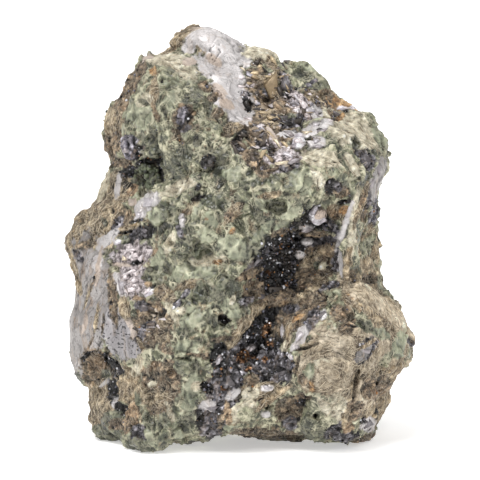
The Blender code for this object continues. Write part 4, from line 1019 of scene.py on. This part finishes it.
def ball():
    """A coarse ball of radius 1 with 20 flat faces: (places, triangles)."""
    t = (1 + 5**0.5) / 2
    places = np.array([
        (-1, t, 0), (1, t, 0), (-1, -t, 0), (1, -t, 0), (0, -1, t), (0, 1, t),
        (0, -1, -t), (0, 1, -t), (t, 0, -1), (t, 0, 1), (-t, 0, -1), (-t, 0, 1),
    ]) / math.hypot(1, t)  # fmt: skip
    faces = np.array([
        (0, 11, 5), (0, 5, 1), (0, 1, 7), (0, 7, 10), (0, 10, 11), (1, 5, 9), (5, 11, 4), (11, 10, 2),
        (10, 7, 6), (7, 1, 8), (3, 9, 4), (3, 4, 2), (3, 2, 6), (3, 6, 8), (3, 8, 9), (4, 9, 5),
        (2, 4, 11), (6, 2, 10), (8, 6, 7), (9, 8, 1),
    ])  # fmt: skip
    return places, faces


def tilted(normal, tilt, rng):
    """A rotation that takes +Z to the normal, give or take the tilt, with any spin."""
    away = Vector(normal).to_track_quat("Z", "Y").to_matrix()
    direction = rng.uniform(0, 2 * math.pi)
    lean = Matrix.Rotation(rng.uniform(-tilt, tilt), 3, Vector((math.cos(direction), math.sin(direction), 0)))
    return np.array(away @ lean @ Matrix.Rotation(rng.uniform(0, 2 * math.pi), 3, "Z"))


def plate_frame(turn, facing):
    """The axes of a plate that faces that way and is drawn out at turn degrees in the picture."""
    along = picture_ways(turn)[0]
    along = (along - facing * along.dot(facing)).normalized()
    return Matrix((along, facing.cross(along), facing)).transposed()


def chosen(weights, count, rng):
    return rng.choice(len(weights), count, p=weights / weights.sum())


def random_size(sizes, rng):
    """A size between the two, more often a small one."""
    return sizes[0] + (sizes[1] - sizes[0]) * rng.random() ** 2


def random_way(rng):
    return Vector((rng.normal(), rng.normal(), rng.normal()))


def add_flakes(places, normals, matter, colour, rng):
    """Thin broken plates on the brown crumbly parts, the slate and, more sparsely, the sheets."""
    weights = matter.blend(brown=0.7, silver=0.08, slate=0.5, crinkled=0.6, pearl=0.5, peach=0.3)
    bits = Bits()
    for index in chosen(weights, FLAKES, rng):
        size = random_size(FLAKE_SIZE, rng)
        shape, faces = prism(rng.integers(5, 8), rng)
        shape = shape * [size, size, rng.uniform(*FLAKE_THICKNESS)]
        spot = places[index] + normals[index] * 0.05
        shade = colour[index] * rng.uniform(0.7, 1.3)
        metal = 0.5 if shade.mean() > 0.2 else 0.3
        around = shape @ tilted(normals[index], 0.2, rng).T + spot
        bits.add(around, faces, np.clip(shade, 0, BITS_BRIGHTEST), metal, rng.uniform(0.25, 0.5))
    bits.mesh("flakes")


def add_shards(places, normals, matter, centre, rng):
    """Thin drawn-out broken sheets, stacked like a torn book, on the stairs."""
    weights = matter.blend(brown=1, slate=1, black=1, tan=1, pearl=0.6, crinkled=0.5, silver=0.25)
    weights = weights * in_ellipses(STAIRS, places, centre)
    weights = weights * (normals @ -np.array(INTO + UP * -0.5) > 0.1)
    bits = Bits()
    for index in chosen(weights, SHARDS, rng):
        shape, faces = prism(rng.integers(4, 7), rng)
        length = rng.uniform(*SHARD_SIZE)
        shape = shape * [length, length * rng.uniform(0.5, 0.9), rng.uniform(*SHARD_THICKNESS)]
        facing = Vector(normals[index]) * 0.5 + UP * rng.uniform(0.1, 0.9) - INTO * rng.uniform(0.1, 0.8)
        facing = (facing + RIGHT * rng.uniform(-0.5, 0.3)).normalized()
        frame = np.array(plate_frame(rng.normal(-25, 25), facing))
        tone, metal = SHARD_TONES[rng.choice(len(SHARD_TONES), p=SHARD_SHARES)]
        tint = np.clip(linear(tone) * rng.uniform(0.75, 1.25), 0, BITS_BRIGHTEST)
        bits.add(shape @ frame.T + places[index], faces, tint, metal, rng.uniform(0.3, 0.5))
    bits.mesh("shards")


def add_plates(tree, centre, rng):
    """The listed plates: thin, angular and only roughly in line with the rock under them."""
    bits = Bits()
    for x, y, half_length, half_width, turn, lean, tone in PLATES:
        spot, under = seen_at(tree, x, y, centre)
        if spot is None:
            continue
        upright = smooth_step(0.3, 0.0, lean) if lean > 0 else 1.0
        to_light = (UP * 0.9 - INTO * 0.5) * max(lean, 0) * 0.8
        facing = (under + to_light - INTO * (0.3 + 1.2 * upright)).normalized()
        frame = plate_frame(turn, facing)
        shape, faces = prism(rng.integers(4, 7), rng)
        long, wide = 1.15 * half_length * PIXEL / MM, 1.2 * half_width * PIXEL / MM / 0.7
        shape = shape * [long, wide, PLATE_THICKNESS]
        tint = PLATE_TONES[tone]
        colour = np.clip(linear(tint) * (1.0, 0.98, 0.93) * rng.uniform(0.9, 1.1), 0, BITS_BRIGHTEST)
        light = sum(tint) / (3 * 255)
        spin = Matrix.Rotation(math.radians(rng.uniform(-8, 8)), 3, "Z")
        places = shape @ np.array(frame @ spin).T + np.array(spot) / MM + np.array(facing) * 0.1
        bits.add(places, faces, colour, 0.15 + 0.2 * light, 0.35)
    bits.mesh("plates")


def grain_finish(in_copper, rng):
    """(colour, metallic, roughness) of a grain: most are dark, some grey, a few bright or copper coloured."""
    pick = rng.random()
    if in_copper and pick < 0.28:
        return linear((198, 152, 114)) * rng.uniform(0.5, 1.1), 0.9, 0.25
    if pick < 0.07:
        return linear((222, 222, 226)), 0.4, 0.2
    if pick < 0.13:
        return linear((168, 126, 90)), 0.9, 0.28
    if pick < 0.42:
        return linear((110, 110, 120)), 0.8, 0.28
    return linear((34, 33, 34)) * rng.uniform(0.5, 2.0), 0.4, 0.22


def add_grains(places, normals, matter, centre, rng):
    """Small crystals in the ore. The cleft that faces the camera has more of them."""
    weights = matter.blend(black=1, slate=0.5, copper=0.9, brown=0.15)
    inside = in_ellipses(CLEFT, places, centre) & (normals @ np.array(INTO) < 0)
    shape, faces = ball()
    bits = Bits()
    spots = np.concatenate([chosen(weights, GRAINS, rng), chosen(weights * inside, CLEFT_GRAINS, rng)])
    for index in spots:
        size = random_size(GRAIN_SIZE, rng)
        stretch = size * rng.uniform(0.6, 1.2, 3)
        tint, metal, rough = grain_finish(matter.share["copper"][index] > 0.3, rng)
        spot = places[index] + normals[index] * size * 0.2
        bits.add((shape * stretch) @ tilted(normals[index], 1.5, rng).T + spot, faces, tint, metal, rough)
    bits.mesh("grains")


def add_druse(tree, centre, rng):
    """Round greenish black grains that line the hollow under the head."""
    x, y, reach, count = DRUSE
    shape, faces = ball()
    bits = Bits()
    for _ in range(count):
        angle, far = rng.uniform(0, 2 * math.pi), reach * math.sqrt(rng.random())
        spot, normal = seen_at(tree, x + far * math.cos(angle), y + far * math.sin(angle), centre)
        if spot is None:
            continue
        size = rng.uniform(*DRUSE_SIZE)
        tint = linear((92, 98, 76) if rng.random() < 0.6 else (48, 50, 40)) * rng.uniform(0.6, 1.5)
        bits.add((shape * size) @ tilted(normal, 1.5, rng).T + np.array(spot) / MM, faces, tint, 0.0, 0.4)
    bits.mesh("druse")


def fibre_spine(spot, way, length, tree, rng):
    """(points along a fibre that lies on the rock, the rock's normals there)."""
    spine, normals = [], []
    for _ in range(FIBRE_JOINTS):
        on, normal, _, _ = tree.find_nearest(spot)
        spine.append(on)
        normals.append(normal)
        way = (way - normal * way.dot(normal) + random_way(rng) * FIBRE_BEND).normalized()
        spot = on + way * length / FIBRE_JOINTS
    return spine, normals


def fibre_shape(spine, normals):
    """A thin three-sided rod that narrows towards both ends: (places, triangles)."""
    last = len(spine) - 1
    ring, faces = [], []
    for i, (on, normal) in enumerate(zip(spine, normals)):
        ahead = (spine[min(i + 1, last)] - spine[max(i - 1, 0)]).normalized()
        across = ahead.cross(normal).normalized()
        half = FIBRE_WIDTH * (1 - 0.8 * abs(2 * i / last - 1) ** 2)
        ring += [on + across * half, on + normal * half * 1.2, on - across * half]
    for a in range(0, 3 * last, 3):
        b = a + 3
        faces += [(a, a + 1, b + 1), (a, b + 1, b), (a + 1, a + 2, b + 2), (a + 1, b + 2, b + 1)]
        faces += [(a + 2, a, b), (a + 2, b, b + 2)]
    return np.array([tuple(p) for p in ring]), faces


def add_fibres(places, matter, tree, rng):
    """Fine raised fibres that lie along the tan and cream seams."""
    bits = Bits()
    for index in chosen(matter.blend(tan=0.7, cream=0.5, wool=1.6), FIBRES, rng):
        along = Vector(matter.along[index]).normalized()
        way = (along + random_way(rng) * (0.16 + 0.34 * matter.share["wool"][index])).normalized()
        length = rng.uniform(*FIBRE_LENGTH)
        spine, normals = fibre_spine(Vector(places[index]), way, length, tree, rng)
        ring, faces = fibre_shape(spine, normals)
        tint = linear((222, 208, 184) if rng.random() < 0.82 else (120, 100, 80)) * rng.uniform(0.7, 1.1)
        bits.add(ring, faces, tint, 0.0, 0.55)
    bits.mesh("fibres")


# Materials


class Nodes:
    """Short ways to add shader nodes to one material."""

    def __init__(self, material):
        self.nodes, self.links = material.node_tree.nodes, material.node_tree.links
        self.shader = self.nodes["Principled BSDF"]
        self.where = self.nodes.new("ShaderNodeTexCoord").outputs["Object"]

    def put(self, socket, value):
        if hasattr(value, "is_linked"):
            self.links.new(value, socket)
        else:
            socket.default_value = value

    def stored(self, name, output="Fac"):
        made = self.nodes.new("ShaderNodeAttribute")
        made.attribute_name = name
        return made.outputs[output]

    def sums(self, operation, a, b=0.0, c=0.0):
        made = self.nodes.new("ShaderNodeMath")
        made.operation = operation
        for socket, value in zip(made.inputs, (a, b, c)):
            self.put(socket, value)
        return made.outputs[0]

    def times(self, product, *others):
        for other in others:
            product = self.sums("MULTIPLY", product, other)
        return product

    def most(self, greatest, *others):
        for other in others:
            greatest = self.sums("MAXIMUM", greatest, other)
        return greatest

    def scaled(self, value, factor, more=1.0):
        """The value times the factor, plus more."""
        return self.sums("MULTIPLY_ADD", value, factor, more)

    def vectors(self, operation, a, b):
        made = self.nodes.new("ShaderNodeVectorMath")
        made.operation = operation
        self.put(made.inputs[0], a)
        self.put(made.inputs["Scale" if operation == "SCALE" else 1], b)
        return made.outputs[0]

    def ramp(self, value, low, high):
        """0 below low and 1 above high, or the other way round if low is above high."""
        made = self.nodes.new("ShaderNodeMapRange")
        made.interpolation_type = "SMOOTHSTEP"
        ends = (min(low, high), max(low, high)) + ((0.0, 1.0) if low < high else (1.0, 0.0))
        self.links.new(value, made.inputs["Value"])
        for key, end in zip(("From Min", "From Max", "To Min", "To Max"), ends):
            made.inputs[key].default_value = end
        return made.outputs[0]

    def mix(self, share, a, b):
        """From colour a to colour b. A colour is a socket or screen values from 0 to 255."""
        made = self.nodes.new("ShaderNodeMix")
        made.data_type = "RGBA"
        sockets = {socket.identifier: socket for socket in made.inputs}
        self.put(sockets["Factor_Float"], share)
        for key, value in (("A_Color", a), ("B_Color", b)):
            self.put(sockets[key], (*linear(value), 1) if isinstance(value, tuple) else value)
        return {socket.identifier: socket for socket in made.outputs}["Result_Color"]

    def noise(self, size_mm, detail=2.0, distortion=0.0, at=None, output="Fac"):
        made = self.nodes.new("ShaderNodeTexNoise")
        made.inputs["Scale"].default_value = 1 / (size_mm * MM)
        made.inputs["Detail"].default_value = detail
        made.inputs["Distortion"].default_value = distortion
        self.links.new(at or self.where, made.inputs["Vector"])
        return made.outputs[output]

    def patchy(self, low, high, *noise_settings):
        """Patches of 1 in 0, where noise rises from low to high (or falls, if low is above high)."""
        return self.ramp(self.noise(*noise_settings), low, high)

    def thread(self, width, *noise_settings):
        """Thin winding lines where noise is near its middle."""
        return self.line(self.noise(*noise_settings), width)

    def line(self, value, width):
        """1 where the value is near 0.5, down to 0 at width from it."""
        return self.ramp(self.sums("ABSOLUTE", self.sums("SUBTRACT", value, 0.5)), width, 0.4 * width)

    def wobbled(self, size_mm, detail, reach_mm):
        """The object's coordinates, pushed about by noise."""
        push = self.vectors("SUBTRACT", self.noise(size_mm, detail, output="Color"), (0.5, 0.5, 0.5))
        return self.vectors("ADD", self.where, self.vectors("SCALE", push, reach_mm * MM))

    def voronoi(self, size_mm, feature="F1", at=None):
        made = self.nodes.new("ShaderNodeTexVoronoi")
        made.feature = feature
        made.inputs["Scale"].default_value = 1 / (size_mm * MM)
        self.links.new(at or self.where, made.inputs["Vector"])
        return made.outputs

    def numbers(self, cells):
        """Three random numbers of each cell."""
        made = self.nodes.new("ShaderNodeSeparateColor")
        self.links.new(cells["Color"], made.inputs[0])
        return made.outputs

    def stretched(self, vector, factors):
        made = self.nodes.new("ShaderNodeMapping")
        made.inputs["Scale"].default_value = factors
        self.links.new(vector, made.inputs["Vector"])
        return made.outputs[0]

    def patches(self, size_mm, at, spread, factors):
        """(coordinates drawn out in one direction in each patch and in another in the next, the patches)."""
        cells = self.voronoi(size_mm, at=at)
        rotated = self.nodes.new("ShaderNodeVectorRotate")
        rotated.rotation_type = "EULER_XYZ"
        angles = self.vectors("MULTIPLY", self.vectors("SUBTRACT", cells["Color"], (0.5, 0.5, 0.5)), spread)
        self.links.new(self.where, rotated.inputs["Vector"])
        self.links.new(angles, rotated.inputs["Rotation"])
        return self.stretched(rotated.outputs[0], factors), cells


def thread_nodes(n, soft, cell):
    """The glassy green's (pale threads, paler stone beside them, cracks darkened as painted shadow, pockets
    darkened as painted shade).
    """
    patch, web = n.noise(4.0, 2), n.noise(2.7, 1.5, 1.2)
    veins = n.times(n.line(web, 0.034), n.ramp(patch, 0.40, 0.50))
    halo = n.times(n.line(web, 0.10), n.ramp(patch, 0.38, 0.50))
    net = n.times(n.ramp(cell, 0.085, 0.035), n.patchy(0.42, 0.52, 5.2, 2))
    wisps = n.times(n.thread(0.042, 1.5, 1.5, 1.2, soft), n.patchy(0.48, 0.56, 3.4, 2, 0.0, soft))
    drawn = n.patches(5.0, soft, (1.2, 1.8, 1.2), (1.1, 1.1, 0.20))[0]
    silk = n.times(n.thread(0.05, 1.2, 1.5, 0.4, drawn), n.patchy(0.50, 0.58, 3.0, 1.5, 0.5))
    threads = n.most(veins, n.times(wisps, 0.9), n.times(silk, 0.8), net)
    cracks = n.times(n.thread(0.013, 4.4, 1.5, 1.0, soft), n.patchy(0.45, 0.52, 4.2, 2))
    pockets = n.times(n.patchy(0.36, 0.28, 1.9, 1.5, 1.5), 0.8)
    pockets = n.most(pockets, n.times(n.ramp(cell, 0.10, 0.45), 0.45))
    return threads, halo, cracks, pockets


def fibre_nodes(n, bent, soft):
    """(fine fibres in matted tufts, each combed its own way; the partings between the tufts; the gaps,
    darkened together with the partings as painted shade; each tuft's own number)."""
    combed, tufts = n.patches(3.6, bent, (1.8, 2.8, 1.8), (1.25, 1.25, 0.16))
    short, _ = n.patches(2.1, soft, (2.4, 3.0, 2.4), (1.5, 1.5, 0.24))
    hairs = n.times(n.thread(0.05, 1.0, 1.5, 0.5, short), n.patchy(0.50, 0.56, 2.8, 2, 0.6))
    hairs = n.most(n.thread(0.045, 1.0, 1.5, 0.25, combed), hairs)
    parting = n.ramp(n.voronoi(3.6, "DISTANCE_TO_EDGE", bent)["Distance"], 0.07, 0.015)
    parting = n.times(parting, n.patchy(0.44, 0.54, 2.2, 2))
    gaps = n.most(n.times(n.patchy(0.46, 0.34, 1.6, 2.5, 0.8), 0.85), parting)
    return hairs, parting, gaps, n.numbers(tufts)[0]


def sheet_nodes(n, bent, soft, cell):
    """The metallic sheets' (plate edges and scratches, pits, streaks, stains)."""
    edges = n.times(n.ramp(cell, 0.040, 0.012), n.patchy(0.52, 0.58, 3.0, 2))
    grooved = n.patches(14.0, soft, (0.5, 1.6, 0.5), (1.6, 1.6, 0.14))[0]
    scratches = n.times(n.thread(0.032, 1.2, 2, 0.3, grooved), n.patchy(0.46, 0.56, 2.6, 1.5))
    cut = n.most(n.times(edges, 0.55), n.times(scratches, 0.55))
    holes = n.voronoi(0.95, at=n.stretched(bent, (0.8, 0.8, 1.2)))
    pits = n.times(n.ramp(holes["Distance"], 0.42, 0.30), n.ramp(n.numbers(holes)[0], 0.42, 0.44))
    streaks = n.noise(0.9, 3, 0.2, n.stretched(bent, (2.4, 2.4, 0.25)))
    streaks = n.times(n.sums("SUBTRACT", streaks, 0.5), 1.1)
    stains = n.patchy(0.54, 0.66, 2.2, 2, 0.5, n.stretched(soft, (1.3, 1.3, 0.3)))
    return cut, n.times(pits, n.stored("pitted")), streaks, stains


def glint_nodes(n):
    """(bright specks painted in as glints, ruddy specks)."""
    specks, sparkling = n.voronoi(0.62), n.stored("sparkling")
    draw, spot = n.numbers(specks), n.ramp(specks["Distance"], 0.42, 0.30)
    bright = n.times(spot, n.ramp(draw[0], 0.92, 0.94), sparkling)
    ruddy = n.times(spot, n.ramp(draw[1], 0.965, 0.98), sparkling)
    return bright, ruddy


def add_ore_material():
    """One surface for all the matter. Colour and finish come from the vertices; veins, fibres, plate edges
    and glints are drawn by noise where the vertices ask for them."""
    material = bpy.data.materials.new(SURFACE)
    material.use_nodes = True
    n = Nodes(material)
    webbed, matted, plated, grit = (n.stored(key) for key in ("webbed", "matted", "plated", "grit"))
    bent, soft = n.wobbled(6.0, 2, 14), n.wobbled(9.0, 1, 9)
    cell = n.stretched(n.wobbled(1.6, 3, 2.2), (1.0, 1.0, 0.6))
    cell = n.voronoi(3.4, "DISTANCE_TO_EDGE", cell)["Distance"]
    grain, mottle = n.noise(0.32, 2), n.noise(1.3, 3)
    threads, halo, cracks, pockets = thread_nodes(n, soft, cell)
    hairs, parting, gaps, tuft = fibre_nodes(n, bent, soft)
    cut, pits, streaks, stains = sheet_nodes(n, bent, soft, cell)
    bright, ruddy = glint_nodes(n)

    # colour: the vertices' own, darkened as painted shade in pockets, gaps and cracks, then threads and
    # fibres, then grain and painted glints
    dim = n.most(n.times(pockets, webbed), n.times(gaps, n.times(matted, 0.6)), n.times(cracks, webbed))
    dim = n.scaled(dim, -0.58)
    dim = n.times(dim, n.scaled(n.times(n.sums("SUBTRACT", tuft, 0.5), matted), 0.4))
    tint = n.vectors("SCALE", n.stored("tint", "Color"), dim)
    tint = n.mix(n.times(halo, webbed, 0.18), tint, (206, 200, 168))
    tint = n.mix(n.times(threads, webbed, 0.80), tint, (222, 216, 188))
    tint = n.mix(n.times(hairs, matted, 0.42), tint, (226, 210, 184))
    shade = n.scaled(grain, 2.4, n.scaled(mottle, 2.0, -2.2))
    shade = n.most(n.scaled(shade, grit), 0.25)
    shade = n.times(shade, n.scaled(n.sums("SUBTRACT", streaks, cut), plated), n.scaled(pits, -0.82))
    tint = n.mix(n.times(stains, plated, 0.42), tint, (158, 136, 114))
    tint = n.vectors("SCALE", tint, shade)
    # painted glints: bright specks in the base colour
    tint = n.mix(bright, tint, (224, 224, 228))
    tint = n.mix(ruddy, tint, (178, 134, 98))
    n.put(n.shader.inputs["Base Color"], tint)
    n.put(n.shader.inputs["Metallic"], n.stored("metal"))
    rough = n.scaled(n.sums("SUBTRACT", grain, 0.5), 0.3, n.stored("rough"))
    n.put(n.shader.inputs["Roughness"], n.scaled(n.times(threads, webbed), 0.2, rough))

    # the finest relief, under the size of the surface's own quads
    height = n.times(n.sums("SUBTRACT", threads, pockets), webbed)
    height = n.sums("ADD", height, n.times(hairs, matted, 0.9))
    height = n.sums("SUBTRACT", height, n.times(parting, matted, 1.2))
    height = n.sums("SUBTRACT", height, n.scaled(cut, plated, n.times(pits, 2.0)))
    height = n.sums("ADD", height, n.times(grain, grit, 1.2))
    bump = n.nodes.new("ShaderNodeBump")
    bump.inputs["Distance"].default_value = BUMP
    bump.inputs["Strength"].default_value = 1.0
    n.links.new(height, bump.inputs["Height"])
    n.links.new(bump.outputs[0], n.shader.inputs["Normal"])


# The studio


def add_sun(name, comes_from, spread, strength):
    """A soft, even light from one side."""
    data = bpy.data.lights.new(name, "SUN")
    data.angle, data.energy = math.radians(spread), strength
    light = bpy.data.objects.new(name, data)
    light.location = comes_from
    light.rotation_mode = "QUATERNION"
    light.rotation_quaternion = (-Vector(comes_from)).to_track_quat("-Z", "Y")
    bpy.context.scene.collection.objects.link(light)


def add_floor():
    """A plain pale floor that glows a little, so that it goes over into the white behind it."""
    mesh = bpy.data.meshes.new("floor")
    half = FLOOR_HALF
    corners = [(-half, -half, 0), (half, -half, 0), (half, half, 0), (-half, half, 0)]
    mesh.from_pydata(corners, [], [(0, 1, 2, 3)])
    pale = bpy.data.materials.new("pale_floor")
    pale.use_nodes = True
    shader = pale.node_tree.nodes["Principled BSDF"]
    shader.inputs["Base Color"].default_value = (FLOOR_COLOUR, FLOOR_COLOUR, FLOOR_COLOUR, 1)
    shader.inputs["Roughness"].default_value = FLOOR_ROUGHNESS
    shader.inputs["Emission Color"].default_value = (1, 1, 1, 1)
    shader.inputs["Emission Strength"].default_value = FLOOR_GLOW
    mesh.materials.append(pale)
    floor = bpy.data.objects.new("floor", mesh)
    bpy.context.scene.collection.objects.link(floor)


def add_studio():
    scene = bpy.context.scene
    scene.view_settings.view_transform = "Standard"
    world = bpy.data.worlds.new("studio")
    world.use_nodes = True
    background = world.node_tree.nodes["Background"]
    background.inputs["Color"].default_value = (1, 1, 1, 1)
    background.inputs["Strength"].default_value = SKY_STRENGTH
    scene.world = world
    add_floor()
    for sun in SUNS:
        add_sun(*sun)


def main():
    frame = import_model()
    noise.seed_set(SEED)
    rng = np.random.default_rng(SEED)
    source = frame["nodes"]["nickel_ore"]
    solid = np.array([tuple(v.co) for v in source.data.vertices])
    centre = picture_centre(solid)
    add_camera(centre)
    add_studio()

    places, normals, quads = arrays_of(fine_mesh(source))
    places = fit_outline(places, centre)
    matter = Matter(places, normals)
    cells = mixed_cells(matter.spots)
    paint_by_noise(matter, cells)
    smooth_tree = BVHTree.FromPolygons([Vector(p) * MM for p in places], quads.tolist())
    paint_features(matter, smooth_tree, centre)
    paint_shades(matter, centre)
    layers = Layers(matter, cells)
    places, relief = shaped(matter, layers, quads)
    fields = coloured(matter, layers, painted_shading(matter, layers, places, relief, quads))
    corners, normals = corner_normals(places, quads, 0.06 + 0.6 * matter.part(*CRISP))
    add_ore_material()
    add_rock(places, quads, corners, fields)

    add_flakes(places, normals, matter, fields["colour"], rng)
    add_grains(places, normals, matter, centre, rng)
    add_shards(places, normals, matter, centre, rng)
    tree_in_mm = BVHTree.FromPolygons([Vector(p) for p in places], quads.tolist())
    add_fibres(places, matter, tree_in_mm, rng)
    tree = BVHTree.FromPolygons([Vector(p) * MM for p in places], quads.tolist())
    add_druse(tree, centre, rng)
    add_plates(tree, centre, rng)


main()
